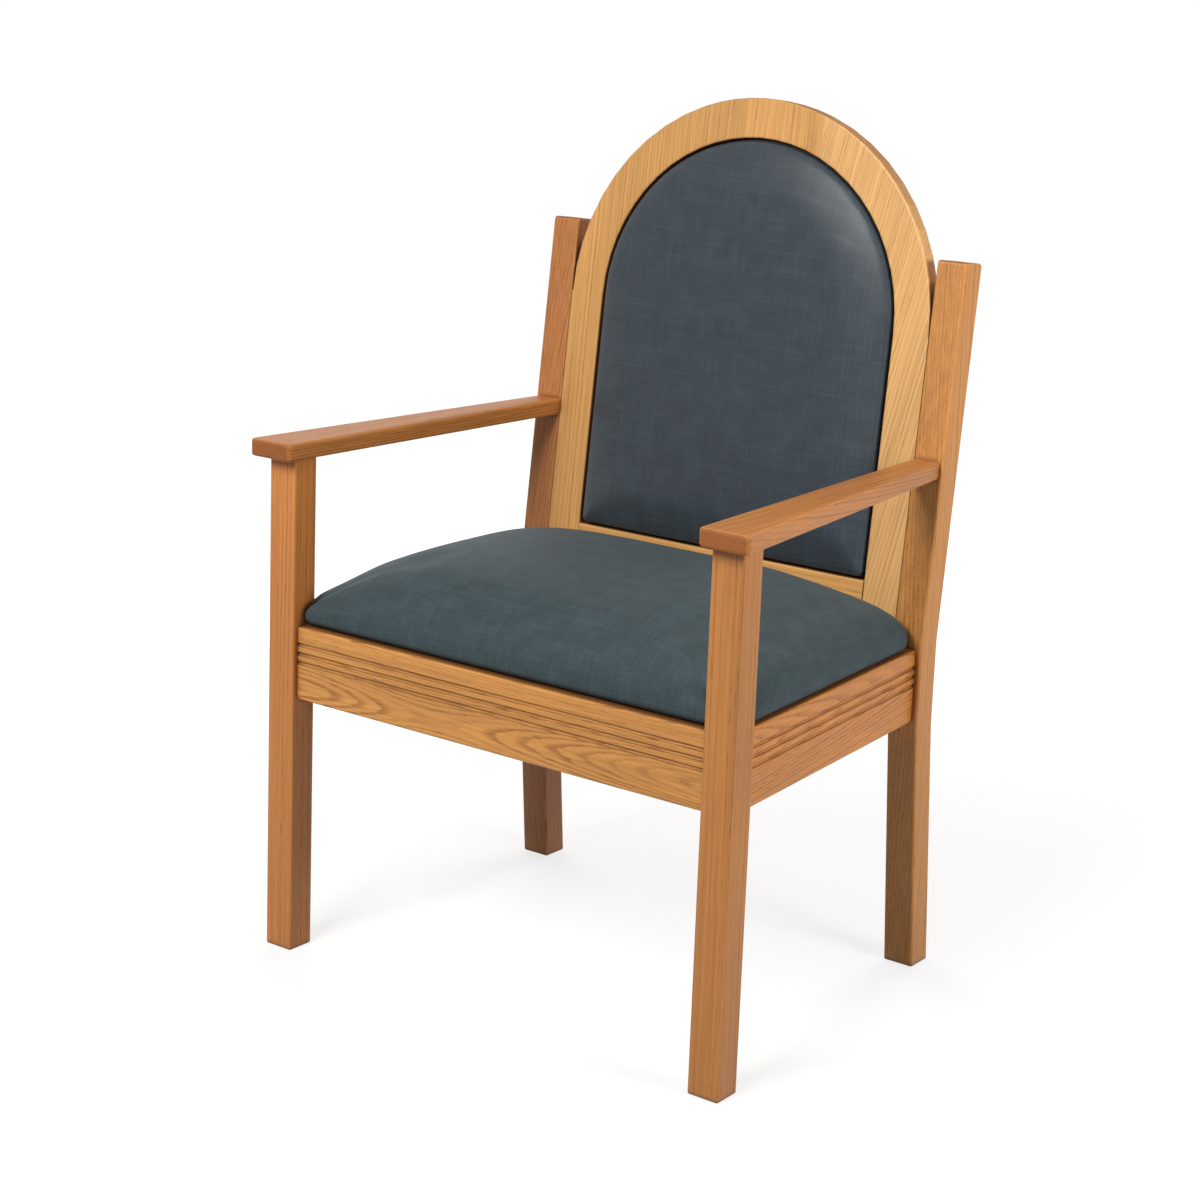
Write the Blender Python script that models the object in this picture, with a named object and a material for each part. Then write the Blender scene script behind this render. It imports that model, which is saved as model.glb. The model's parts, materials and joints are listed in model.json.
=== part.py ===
"""Celebrant chair: an oak armchair with an arched, padded back and a crowned seat.

Metres, +Z up, the front towards -Y. While it is modelled, y = 0 is at the front faces of the
front legs. At the end the chair is moved so that the origin lies under the middle of its box.
"""

from math import acos, atan, atan2, ceil, cos, pi, radians, sin, tan

import bmesh
import bpy
from mathutils import Vector

# Fits
FIT = 0.0003                 # gap between pieces that touch

# Seat frame
FRONT_WIDTH = 0.692          # over the front legs
REAR_WIDTH = 0.627           # over the rear posts
SEAT_DEPTH = 0.457           # front of the front legs to front of the rear posts, at the rails
LEG_WIDTH = 0.0415
LEG_DEPTH = 0.0385
LEG_EASE = 0.0025            # rounding of the long edges of legs and posts
RAIL_TOP = 0.421
RAIL_HEIGHT = 0.0925
RAIL_THICK = 0.022
RAIL_SETBACK = 0.008         # rail face behind the leg face
RAIL_EASE = 0.003
RAIL_INNER_EASE = 0.001
TENON_LENGTH = 0.014
TENON_THICK = 0.010
TENON_HEIGHT = 0.060
TENON_ROOT = 0.006           # how far a tenon is carried back into its own rail

# Three routed grooves along the front and side rails
GROOVE_COUNT = 3
GROOVE_FIRST = 0.0220        # top of the rail to the middle of the first groove
GROOVE_PITCH = 0.0115
GROOVE_WIDTH = 0.0055
GROOVE_DEPTH = 0.0026

# Rear posts
POST_WIDTH = 0.041
POST_DEPTH = 0.0385
POST_TOP = 0.894
POST_TOP_EASE = 0.004
FOOT_KICK = 0.028            # how far the foot stands behind the seat joint
BACK_RAKE = radians(6.3)
JOINT_FLAT = 0.009           # upright stretch of the post above and below the rails
BEND_RADIUS = 0.120

# Arms
ARM_TOP = 0.653
ARM_THICK = 0.022
ARM_FRONT_WIDTH = 0.0645
ARM_REAR_WIDTH = 0.0365
ARM_NOSE = 0.019             # overhang in front of the leg
ARM_OVERHANG = 0.0165        # overhang outside the leg
ARM_CORNER = 0.006
ARM_EASE = 0.0035
DOWEL_RADIUS = 0.005
DOWEL_CHAMFER = 0.001
LEG_DOWEL_DOWN = 0.025       # into the leg
LEG_DOWEL_UP = 0.014         # into the arm
ARM_DOWEL_HALF = 0.018       # into the arm and into the post

# Arched back frame
ARCH_SPRING = 0.799          # height of the middle of the arch
ARCH_BAND = 0.0505           # width of the frame round the pad
ARCH_THICK = 0.0235
ARCH_SETBACK = 0.001         # frame face behind the post face
ARCH_EASE = 0.0025
CROWN_HALF = 0.090           # half the width of the crown board
PAD_SILL = 0.4925            # height of the bottom rail's upper edge
BACK_FOOT = 0.434            # height of the frame's lower edge
STILE_DOWEL_HEIGHTS = (0.56, 0.74)
STILE_DOWEL_HALF = 0.016
HEAD_DOWEL_HALF = 0.018
BACK_TENON_LENGTH = 0.012
BACK_TENON_THICK = 0.008
BACK_TENON_SHOULDER = 0.010

# Outside back panel, let into the rear of the frame
PANEL_THICK = 0.0055
RABBET = 0.009
PANEL_SCREW_INSET = 0.0045
PANEL_SCREW_LENGTH = 0.014
PANEL_SCREW_HEIGHTS = (0.57, 0.75)

# Upholstered back pad
PAD_CLEAR = 0.0015           # shadow gap round the pad
PAD_EDGE = 0.003             # pad edge behind the frame face
PAD_CROWN = 0.014
PAD_FULLNESS = 4.2           # higher is flatter in the middle and rounder at the edge
PAD_COVER = 0.0016
PAD_FLANGE = 0.012
PAD_BOARD = 0.006
CORE_CLEAR = 0.0025          # gap between a cover and the foam and board in it
CUSHION_STEPS = 7            # rings from the middle of a cushion to its edge

# Upholstered seat
SEAT_INSET = 0.004           # widest line of the cushion inside the rail face
SEAT_CLEAR = 0.0015          # gap to legs and posts
SEAT_BULGE = 0.433           # height of the cushion's widest line
SEAT_CROWN = 0.516           # height of the crown
SEAT_CROWN_BACK = 0.010      # how far the crown lies behind the middle of the seat
SEAT_FULLNESS = 3.3
SEAT_DIP = 0.4               # share of the crown that is lost beside the front legs
SEAT_DIP_REACH = 0.100
SEAT_DRAW = 0.006            # how far the sides draw in at the foot
SEAT_COVER = 0.002
SEAT_FLANGE = 0.007
SEAT_BOARD = 0.012
SEAT_BOARD_INSET = 0.012
SEAT_FRONT_CORNER = 0.010    # corner radii of the plan, from the front to the rear
SEAT_NOTCH_CORNER = 0.003
SEAT_SIDE_CORNER = 0.020
SEAT_REAR_CORNER = 0.014
SEAT_SIDE_STEPS = 3          # rings down the side of the seat
SEAT_BLEND = 0.30            # share of the way in, over which the plan becomes a plain oval
CUSHION_GRID = 0.052         # longest stretch between two points round a cushion
DUST_COVER = 0.0012

# Corner blocks and screws
BLOCK_REACH = 0.050
BLOCK_HEIGHT = 0.040
BLOCK_TIP = 0.006            # blunt tips of the block
LOW_SCREW = 0.010            # heights of the two screws above the foot of the block
HIGH_SCREW = 0.030
BLOCK_SCREW_LENGTH = 0.026
BLOCK_SCREW_BITE = 0.013     # length of screw in the rail
RAIL_SCREW_OFFSET = 0.026    # from the leg to the screw into the front or rear rail
SIDE_SCREW_OFFSET = 0.030    # from the leg to the screw into the side rail
SEAT_SCREW_OFFSET = 0.018
SEAT_SCREW_BITE = 0.008      # length of screw in the seat board
SCREW_RADIUS = 0.002
SCREW_HEAD = 0.004
SCREW_HEAD_HEIGHT = 0.0025
PANEL_SCREW_RADIUS = 0.0014
PANEL_SCREW_HEAD = 0.0028
PANEL_SCREW_HEAD_HEIGHT = 0.0016

# Worked out from the sizes above
RAIL_BOTTOM = RAIL_TOP - RAIL_HEIGHT
FLAT_LOW = RAIL_BOTTOM - JOINT_FLAT
FLAT_HIGH = RAIL_TOP + JOINT_FLAT
LEG_INNER = FRONT_WIDTH / 2 - LEG_WIDTH
POST_INNER = REAR_WIDTH / 2 - POST_WIDTH
ARM_UNDER = ARM_TOP - ARM_THICK
ARCH_RADIUS = POST_INNER - FIT
OPENING = ARCH_RADIUS - ARCH_BAND
ARCH_FRONT = ARCH_SETBACK
ARCH_BACK = ARCH_SETBACK + ARCH_THICK
PANEL_FACE = ARCH_BACK - PANEL_THICK
BLOCK_TOP = RAIL_TOP - DUST_COVER - 2 * FIT
BLOCK_FOOT = BLOCK_TOP - BLOCK_HEIGHT
SEAT_FOOT = RAIL_TOP + FIT
SEAT_LINING = SEAT_FOOT + SEAT_COVER
BOARD_FOOT = SEAT_LINING + FIT
BOARD_TOP = BOARD_FOOT + SEAT_BOARD

SIDES = {"left": -1, "right": 1}

# Colours (linear), roughness and metallic value of each material
FINISHES = {
    "honey_oak": ((0.50, 0.235, 0.075), 0.42, 0.0),
    "hidden_hardwood": ((0.48, 0.31, 0.15), 0.7, 0.0),
    "birch_plywood": ((0.62, 0.44, 0.25), 0.65, 0.0),
    "slate_fabric": ((0.056, 0.078, 0.088), 0.9, 0.0),
    "seat_foam": ((0.80, 0.74, 0.52), 0.95, 0.0),
    "dust_cloth": ((0.012, 0.012, 0.013), 0.95, 0.0),
    "zinc_steel": ((0.55, 0.55, 0.56), 0.4, 1.0),
}


def clear_scene():
    """Remove every object that is in the file."""
    for thing in list(bpy.data.objects):
        bpy.data.objects.remove(thing, do_unlink=True)


def finish(name):
    """The Principled material of that name, made once."""
    material = bpy.data.materials.get(name)
    if material is None:
        colour, roughness, metallic = FINISHES[name]
        material = bpy.data.materials.new(name)
        material.use_nodes = True
        shader = material.node_tree.nodes["Principled BSDF"]
        shader.inputs["Base Color"].default_value = (*colour, 1.0)
        shader.inputs["Roughness"].default_value = roughness
        shader.inputs["Metallic"].default_value = metallic
        material.diffuse_color = (*colour, 1.0)
    return material


def half_width(y):
    """Half the chair's width over legs and posts at depth y."""
    return FRONT_WIDTH / 2 + (REAR_WIDTH - FRONT_WIDTH) / 2 * y / SEAT_DEPTH


def rail_inner(y):
    """Inner face of a side rail at depth y."""
    return half_width(y) - RAIL_SETBACK - RAIL_THICK


def post_front(z):
    """Depth of the raked front face of the posts at height z."""
    return SEAT_DEPTH + (z - FLAT_HIGH) * tan(BACK_RAKE)


def up_rake(height):
    """Distance up the raked front face of the posts to a height."""
    return (height - FLAT_HIGH) / cos(BACK_RAKE)


def rectangle(a0, a1, b0, b1):
    """Corners of a rectangle."""
    return [(a0, b0), (a1, b0), (a1, b1), (a0, b1)]


def fillet(corners, steps=3):
    """Outline through corners (a, b, radius), each rounded by an arc of its radius."""
    outline = []
    for i, (a, b, radius) in enumerate(corners):
        corner = Vector((a, b))
        if radius == 0:
            outline.append((a, b))
            continue
        before = (Vector(corners[i - 1][:2]) - corner).normalized()
        after = (Vector(corners[(i + 1) % len(corners)][:2]) - corner).normalized()
        half = before.angle(after) / 2
        centre = corner + (before + after).normalized() * (radius / sin(half))
        start = corner + before * (radius / tan(half)) - centre
        end = corner + after * (radius / tan(half)) - centre
        first = atan2(start.y, start.x)
        turn = (atan2(end.y, end.x) - first + pi) % (2 * pi) - pi
        for k in range(steps + 1):
            angle = first + turn * k / steps
            outline.append((centre.x + radius * cos(angle), centre.y + radius * sin(angle)))
    return outline


def arc(radius, start, end, steps, rise):
    """Points of an arc round (0, rise), angles from +X."""
    angles = [start + (end - start) * k / steps for k in range(steps + 1)]
    return [(radius * cos(t), rise + radius * sin(t)) for t in angles]


def spaced(outline, step):
    """The outline with extra points, so that no stretch is longer than step."""
    points = []
    for (a, b), (c, d) in zip(outline, outline[1:] + outline[:1]):
        parts = ceil(Vector((c - a, d - b)).length / step)
        points += [(a + (c - a) * k / parts, b + (d - b) * k / parts) for k in range(parts)]
    return points


def plan(a, b, c):
    """Outline in plan, carried up Z."""
    return (a, b, c)


def prism(outline, low, high, place=plan):
    """Solid between two copies of an outline; place turns (a, b, c) into (x, y, z)."""
    bm = bmesh.new()
    rows = [[bm.verts.new(place(a, b, c)) for a, b in outline] for c in (low, high)]
    for row in rows:
        bm.faces.new(row)
    for i in range(len(outline)):
        bm.faces.new((rows[0][i - 1], rows[0][i], rows[1][i], rows[1][i - 1]))
    bmesh.ops.recalc_face_normals(bm, faces=bm.faces)
    return bm


def loft(rings):
    """Closed skin over a stack of rings; a ring of one point is a tip."""
    bm = bmesh.new()
    rows = [[bm.verts.new(point) for point in ring] for ring in rings]
    for one, two in zip(rows, rows[1:]):
        for i in range(max(len(one), len(two))):
            around = [one[i - 1], one[i], two[i], two[i - 1]] if len(one) == len(two) else None
            if len(one) == 1:
                around = [one[0], two[i], two[i - 1]]
            elif len(two) == 1:
                around = [one[i - 1], one[i], two[0]]
            bm.faces.new(around)
    for row in (rows[0], rows[-1]):
        if len(row) > 1:
            bm.faces.new(row)
    bmesh.ops.recalc_face_normals(bm, faces=bm.faces)
    return bm


def turned(start, direction, profile, sides=12):
    """Round solid along a line; profile holds (distance along, radius)."""
    axis = Vector(direction).normalized()
    across = axis.orthogonal().normalized()
    over = axis.cross(across)
    rings = []
    for along, radius in profile:
        middle = Vector(start) + axis * along
        turns = [2 * pi * k / sides for k in range(sides if radius else 1)]
        rings.append([middle + radius * (cos(t) * across + sin(t) * over) for t in turns])
    return loft(rings)


def dowel(start, direction, length, grow=0.0):
    """Chamfered dowel; with grow, the hole that it sits in."""
    radius = DOWEL_RADIUS + grow
    return turned(start, direction, [
        (-grow, radius - DOWEL_CHAMFER), (DOWEL_CHAMFER - grow, radius),
        (length - DOWEL_CHAMFER + grow, radius), (length + grow, radius - DOWEL_CHAMFER)], sides=16)


def screw(start, direction, length, radius, head, head_height, grow=0.0, pocket=0.0):
    """Countersunk screw; with grow and pocket, the hole that it sits in."""
    return turned(start, direction, [
        (-pocket, head + grow), (head_height * 0.2, head + grow), (head_height, radius + grow),
        (length - radius, radius + grow), (length + grow, radius * 0.3 + grow)])


def ease(bm, width, wanted, segments=2):
    """Round the edges that wanted picks."""
    edges = [edge for edge in bm.edges if wanted(edge)]
    bmesh.ops.bevel(bm, geom=edges, offset=width, segments=segments, profile=0.5,
                    affect="EDGES", clamp_overlap=True)
    return bm


def ends_at(edge, axis, value):
    """Whether both ends of an edge lie at one value of an axis."""
    return all(abs(vert.co[axis] - value) < 1e-5 for vert in edge.verts)


def add_object(name, solids, parent):
    """One object from one or more solids."""
    mesh = bpy.data.meshes.new(name)
    joined = bmesh.new()
    for solid in solids:
        part = bpy.data.meshes.new("part")
        solid.to_mesh(part)
        joined.from_mesh(part)
        bpy.data.meshes.remove(part)
        solid.free()
    joined.to_mesh(mesh)
    joined.free()
    thing = bpy.data.objects.new(name, mesh)
    bpy.context.scene.collection.objects.link(thing)
    thing.parent = parent
    return thing


def tool(name, solids, parent):
    """A hidden solid that cuts another piece or is joined to it."""
    thing = add_object(name, solids, parent)
    thing.hide_render = True
    thing.display_type = "WIRE"
    return thing


def piece(name, solid, material, parent, cuts=(), joins=(), smooth=False):
    """A finished piece of the chair, cut and joined by its tools."""
    thing = add_object(name, [solid], parent)
    thing.data.materials.append(finish(material))
    for operation, tools in (("UNION", joins), ("DIFFERENCE", cuts)):
        for number, other in enumerate(tools):
            modifier = thing.modifiers.new(f"{operation.lower()}_{number}", "BOOLEAN")
            modifier.operation = operation
            modifier.solver = "EXACT"
            modifier.object = other
    if smooth:
        thing.data.shade_smooth()
        thing.data.set_sharp_from_angle(angle=radians(35))
    return thing


# Seat rails and their joints

def front_rail_place(a, b, c):
    """Depth in from the rail face, height, along the rail."""
    return (c, RAIL_SETBACK + a, b)


def rear_rail_place(a, b, c):
    """As front_rail_place, seen from behind the chair."""
    return (c, SEAT_DEPTH + RAIL_SETBACK + RAIL_THICK - a, b)


def side_rail_place(side):
    """As front_rail_place, on one side of the chair, following its taper."""
    return lambda a, b, c: (side * (half_width(c) - RAIL_SETBACK - a), c, b)


def rail_section(grooved):
    """Rail outline: depth in from its face and height."""
    outline = fillet([(0, RAIL_BOTTOM, RAIL_EASE), (RAIL_THICK, RAIL_BOTTOM, RAIL_INNER_EASE),
                      (RAIL_THICK, RAIL_TOP, RAIL_INNER_EASE), (0, RAIL_TOP, RAIL_EASE)])
    for k in range(GROOVE_COUNT if grooved else 0):
        middle = RAIL_TOP - GROOVE_FIRST - k * GROOVE_PITCH
        for step in range(5):
            turn = pi * step / 4
            outline.append((GROOVE_DEPTH * sin(turn), middle + GROOVE_WIDTH / 2 * cos(turn)))
    return outline


def tenon(place, end, way, grow=0.0):
    """Tenon at the end of a rail; with grow, its mortise."""
    middle = (RAIL_TOP + RAIL_BOTTOM) / 2
    outline = rectangle(RAIL_THICK / 2 - TENON_THICK / 2 - grow, RAIL_THICK / 2 + TENON_THICK / 2 + grow,
                        middle - TENON_HEIGHT / 2 - grow, middle + TENON_HEIGHT / 2 + grow)
    ends = sorted((end - way * TENON_ROOT, end + way * (TENON_LENGTH + grow)))
    return prism(outline, ends[0], ends[1], place)


def add_rail(name, place, low, high, grooved, screw_holes, parent):
    """A seat rail with a tenon at each end."""
    tenons = tool(f"{name}_tenons", [tenon(place, low, -1), tenon(place, high, 1)], parent)
    body = prism(rail_section(grooved), low + FIT, high - FIT, place)
    return piece(name, body, "honey_oak", parent, cuts=screw_holes, joins=[tenons])


# Legs, posts and arms

def leg_dowel(side, grow=0.0):
    """Dowel between a front leg and its arm."""
    foot = (side * (LEG_INNER + LEG_WIDTH / 2), LEG_DEPTH / 2, ARM_UNDER - LEG_DOWEL_DOWN)
    return dowel(foot, (0, 0, 1), LEG_DOWEL_DOWN + LEG_DOWEL_UP, grow)


def arm_dowel(side, grow=0.0):
    """Dowel between the rear end of an arm and its post."""
    middle = ARM_TOP - ARM_THICK / 2
    start = (side * (POST_INNER + ARM_REAR_WIDTH / 2), post_front(middle) - ARM_DOWEL_HALF, middle)
    return dowel(start, (0, 1, 0), 2 * ARM_DOWEL_HALF, grow)


def add_front_leg(name, side, parent):
    """Front leg from the floor to the arm, mortised for two rails."""
    top = ARM_UNDER - FIT
    body = prism(rectangle(side * LEG_INNER, side * FRONT_WIDTH / 2, 0, LEG_DEPTH), 0, top)
    ease(body, LEG_EASE, lambda edge: not ends_at(edge, 2, top))
    cutter = tool(f"{name}_joints", [
        tenon(front_rail_place, side * LEG_INNER, side, FIT),
        tenon(side_rail_place(side), LEG_DEPTH, -1, FIT),
        leg_dowel(side, FIT)], parent)
    return piece(name, body, "honey_oak", parent, cuts=[cutter])


def post_outline():
    """Side outline of a rear post: depth and height."""
    kick = atan(FOOT_KICK / FLAT_LOW)
    lean = up_rake(POST_TOP)
    top = Vector((SEAT_DEPTH + lean * sin(BACK_RAKE), POST_TOP))
    top_back = top + POST_DEPTH * Vector((cos(BACK_RAKE), -sin(BACK_RAKE)))
    back = SEAT_DEPTH + POST_DEPTH
    foot = SEAT_DEPTH + FOOT_KICK
    return fillet([
        (foot, 0, LEG_EASE), (foot + POST_DEPTH / cos(kick), 0, LEG_EASE),
        (back, FLAT_LOW + POST_DEPTH * tan(kick / 2), BEND_RADIUS + POST_DEPTH),
        (back, FLAT_HIGH - POST_DEPTH * tan(BACK_RAKE / 2), BEND_RADIUS + POST_DEPTH),
        (*top_back, POST_TOP_EASE), (*top, POST_TOP_EASE),
        (SEAT_DEPTH, FLAT_HIGH, BEND_RADIUS), (SEAT_DEPTH, FLAT_LOW, BEND_RADIUS)])


def add_rear_post(name, side, stile_holes, parent):
    """Rear leg and back post in one piece, mortised for two rails and the arm."""
    inner, outer = side * POST_INNER, side * REAR_WIDTH / 2
    body = prism(post_outline(), inner, outer, lambda a, b, c: (c, a, b))
    ease(body, LEG_EASE, lambda edge: ends_at(edge, 0, inner) or ends_at(edge, 0, outer))
    cutter = tool(f"{name}_joints", [
        tenon(side_rail_place(side), SEAT_DEPTH, 1, FIT),
        tenon(rear_rail_place, side * POST_INNER, side, FIT),
        arm_dowel(side, FIT)], parent)
    return piece(name, body, "honey_oak", parent, cuts=[cutter, stile_holes])


def add_arm(name, side, parent):
    """Arm on the front leg, narrowing to the post that it butts against."""
    outer = FRONT_WIDTH / 2 + ARM_OVERHANG
    beyond = SEAT_DEPTH + ARM_TOP
    outline = fillet([(outer - ARM_FRONT_WIDTH, -ARM_NOSE, ARM_CORNER), (outer, -ARM_NOSE, ARM_CORNER),
                      (POST_INNER + ARM_REAR_WIDTH, beyond, 0), (POST_INNER, beyond, 0)])

    def place(a, b, c):
        """The rear end follows the rake of the post."""
        return (side * a, min(b, post_front(c) - FIT), c)

    body = prism(outline, ARM_UNDER, ARM_TOP, place)
    rear = post_front(ARM_UNDER) - 2 * FIT
    ease(body, ARM_EASE, lambda edge: (ends_at(edge, 2, ARM_UNDER) or ends_at(edge, 2, ARM_TOP))
         and min(vert.co.y for vert in edge.verts) < rear)
    cutter = tool(f"{name}_joints", [leg_dowel(side, FIT), arm_dowel(side, FIT)], parent)
    return piece(name, body, "honey_oak", parent, cuts=[cutter])


# Corner blocks

def block_outline(inner, cross, face, way):
    """Plan of a corner block; cross is the face of the front or rear rail, face that of the leg."""
    far = face + way * BLOCK_REACH
    near = cross + way * FIT
    seat = face + way * FIT
    tip = inner - BLOCK_REACH
    return [(tip, near), (inner - FIT, near), (inner - FIT, seat), (rail_inner(seat) - FIT, seat),
            (rail_inner(far) - FIT, far), (rail_inner(far) - FIT - BLOCK_TIP, far),
            (tip, near + way * BLOCK_TIP)]


def add_corner(end, side_name, parent):
    """Corner block with its two rail screws and its seat screw."""
    side = SIDES[side_name]
    if end == "front":
        inner, cross, face, way = LEG_INNER, RAIL_SETBACK + RAIL_THICK, LEG_DEPTH, 1
    else:
        inner, cross, face, way = POST_INNER, SEAT_DEPTH + RAIL_SETBACK, SEAT_DEPTH, -1
    tag = f"{end}_{side_name}"
    run = BLOCK_SCREW_LENGTH - BLOCK_SCREW_BITE
    beside = face + way * SIDE_SCREW_OFFSET
    seat_length = BOARD_FOOT + SEAT_SCREW_BITE - BLOCK_FOOT
    rail_start = (side * (inner - RAIL_SCREW_OFFSET), cross + way * run, BLOCK_FOOT + LOW_SCREW)
    side_start = (side * (rail_inner(beside) - run), beside, BLOCK_FOOT + HIGH_SCREW)
    seat_start = (side * (inner - SEAT_SCREW_OFFSET), face + way * SEAT_SCREW_OFFSET, BLOCK_FOOT)
    routes = {
        "rail_screw": (rail_start, (0, -way, 0), BLOCK_SCREW_LENGTH),
        "side_screw": (side_start, (side, 0, 0), BLOCK_SCREW_LENGTH),
        "seat_screw": (seat_start, (0, 0, 1), seat_length),
    }
    holes = {}
    for kind, (start, direction, length) in routes.items():
        sizes = (length, SCREW_RADIUS, SCREW_HEAD, SCREW_HEAD_HEIGHT)
        hole = screw(start, direction, *sizes, FIT, BLOCK_REACH)
        holes[kind] = tool(f"{kind}_hole_{tag}", [hole], parent)
        piece(f"{kind}_{tag}", screw(start, direction, *sizes), "zinc_steel", parent, smooth=True)
    outline = [(side * a, b) for a, b in block_outline(inner, cross, face, way)]
    piece(f"corner_block_{tag}", prism(outline, BLOCK_FOOT, BLOCK_TOP), "hidden_hardwood", parent,
          cuts=list(holes.values()))
    return holes


# Arched back, in the raked frame of the posts: x across, y back from the post face, z up the rake

def raked(a, b, c):
    """Outline across and up the rake, carried back."""
    return (a, c, b)


def arch_outline(radius, foot):
    """Arch of a radius on upright sides that start at foot."""
    return [(-radius, foot), (radius, foot)] + arc(radius, 0, pi, 20, up_rake(ARCH_SPRING))


def stile_dowel(side, height, grow=0.0):
    """Dowel between a post and a stile of the back."""
    start = (side * (ARCH_RADIUS - STILE_DOWEL_HALF), (ARCH_FRONT + ARCH_BACK) / 2, up_rake(height))
    return dowel(start, (side, 0, 0), 2 * STILE_DOWEL_HALF, grow)


def head_dowel(side, grow=0.0):
    """Dowel between a stile and the shoulder of the arch above it."""
    start = (side * (OPENING + ARCH_BAND / 2), (ARCH_FRONT + PANEL_FACE) / 2,
             up_rake(ARCH_SPRING) - HEAD_DOWEL_HALF)
    return dowel(start, (0, 0, 1), 2 * HEAD_DOWEL_HALF, grow)


def sill_tenon(side, grow=0.0):
    """Tenon of the back's bottom rail; with grow, its mortise."""
    middle = (ARCH_FRONT + PANEL_FACE) / 2
    outline = rectangle(up_rake(BACK_FOOT) + BACK_TENON_SHOULDER - grow,
                        up_rake(PAD_SILL) - RABBET - BACK_TENON_SHOULDER + grow,
                        middle - BACK_TENON_THICK / 2 - grow, middle + BACK_TENON_THICK / 2 + grow)
    ends = sorted((side * (OPENING - TENON_ROOT), side * (OPENING + BACK_TENON_LENGTH + grow)))
    return prism(outline, ends[0], ends[1], lambda a, b, c: (c, b, a))


def on_arch(edge, radius):
    """Whether an edge of a back board runs along an arc of a radius, and not through the board."""
    rise = up_rake(ARCH_SPRING)
    one, two = (vert.co for vert in edge.verts)
    follows = all(abs(Vector((co.x, co.z - rise)).length - radius) < 1e-4 for co in (one, two))
    return follows and abs(one.y - two.y) < 1e-6


def add_back_board(name, outline, edges, parent, cuts, joins=()):
    """A board of the arched frame, with the edges that edges picks rounded."""
    body = prism(outline, ARCH_FRONT, ARCH_BACK, raked)
    ease(body, ARCH_EASE, edges)
    return piece(name, body, "honey_oak", parent, cuts=cuts, joins=joins)


def panel_screw_routes():
    """Where the outside back panel is screwed to the frame."""
    edge = OPENING + RABBET - PANEL_SCREW_INSET
    routes = {f"{name}_{number}": (side * edge, up_rake(height))
              for name, side in SIDES.items() for number, height in enumerate(PANEL_SCREW_HEIGHTS)}
    routes["crown"] = (0, up_rake(ARCH_SPRING) + edge)
    routes["sill"] = (0, up_rake(PAD_SILL) - RABBET + PANEL_SCREW_INSET)
    return routes


def add_back_frame(parent):
    """Stiles, shoulders, crown and bottom rail of the back, and the panel behind the pad."""
    rise, foot, sill = up_rake(ARCH_SPRING), up_rake(BACK_FOOT), up_rake(PAD_SILL)
    rabbet = tool("panel_rabbet", [prism(arch_outline(OPENING + RABBET + FIT, sill - RABBET - FIT),
                                         PANEL_FACE - FIT, ARCH_BACK + RABBET, raked)], parent)
    sizes = (PANEL_SCREW_LENGTH, PANEL_SCREW_RADIUS, PANEL_SCREW_HEAD, PANEL_SCREW_HEAD_HEIGHT)
    holes = {}
    for tag, (x, z) in panel_screw_routes().items():
        route = ((x, ARCH_BACK, z), (0, -1, 0))
        holes[tag] = tool(f"panel_screw_hole_{tag}", [screw(*route, *sizes, FIT, RABBET)], parent)
        piece(f"panel_screw_{tag}", screw(*route, *sizes), "zinc_steel", parent, smooth=True)

    for name, side in SIDES.items():
        stile_cutter = tool(f"stile_{name}_joints", [
            *(stile_dowel(side, height, FIT) for height in STILE_DOWEL_HEIGHTS),
            head_dowel(side, FIT), sill_tenon(side, FIT)], parent)
        outline = rectangle(side * (OPENING + FIT), side * ARCH_RADIUS, foot, rise - FIT)
        opening = side * (OPENING + FIT)
        add_back_board(f"back_stile_{name}", outline, lambda edge: ends_at(edge, 0, opening)
                       and min(vert.co.z for vert in edge.verts) < sill, parent,
                       [stile_cutter, rabbet, holes[f"{name}_0"], holes[f"{name}_1"]])
        shoulder_cutter = tool(f"shoulder_{name}_joints", [head_dowel(side, FIT)], parent)
        seam = CROWN_HALF + FIT
        outline = arc(ARCH_RADIUS, 0, acos(seam / ARCH_RADIUS), 10, rise)
        outline += arc(OPENING, acos(seam / OPENING), 0, 10, rise)
        outline = [(side * a, b) for a, b in outline]
        add_back_board(f"arch_shoulder_{name}", outline,
                       lambda edge: on_arch(edge, ARCH_RADIUS) or on_arch(edge, OPENING), parent,
                       [shoulder_cutter, rabbet])
        piece(f"head_dowel_{name}", head_dowel(side), "hidden_hardwood", parent, smooth=True)
        for number, height in enumerate(STILE_DOWEL_HEIGHTS):
            piece(f"stile_dowel_{name}_{number}", stile_dowel(side, height), "hidden_hardwood", parent,
                  smooth=True)

    start, end = acos(CROWN_HALF / ARCH_RADIUS), acos(CROWN_HALF / OPENING)
    outline = arc(ARCH_RADIUS, start, pi - start, 8, rise) + arc(OPENING, pi - end, end, 8, rise)
    add_back_board("arch_crown", outline, lambda edge: on_arch(edge, ARCH_RADIUS) or on_arch(edge, OPENING),
                   parent, [rabbet, holes["crown"]])
    tenons = tool("back_bottom_rail_tenons", [sill_tenon(-1), sill_tenon(1)], parent)
    add_back_board("back_bottom_rail", rectangle(-OPENING, OPENING, foot, sill),
                   lambda edge: ends_at(edge, 2, sill) and ends_at(edge, 1, ARCH_FRONT), parent,
                   [rabbet, holes["sill"]], [tenons])
    panel = prism(arch_outline(OPENING + RABBET, sill - RABBET), PANEL_FACE, ARCH_BACK, raked)
    piece("outside_back_panel", panel, "honey_oak", parent, cuts=list(holes.values()))


# Upholstery

def scaled(outline, middle, share):
    """An outline drawn in towards a middle point."""
    return [(middle[0] + (a - middle[0]) * share, middle[1] + (b - middle[1]) * share) for a, b in outline]


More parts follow.
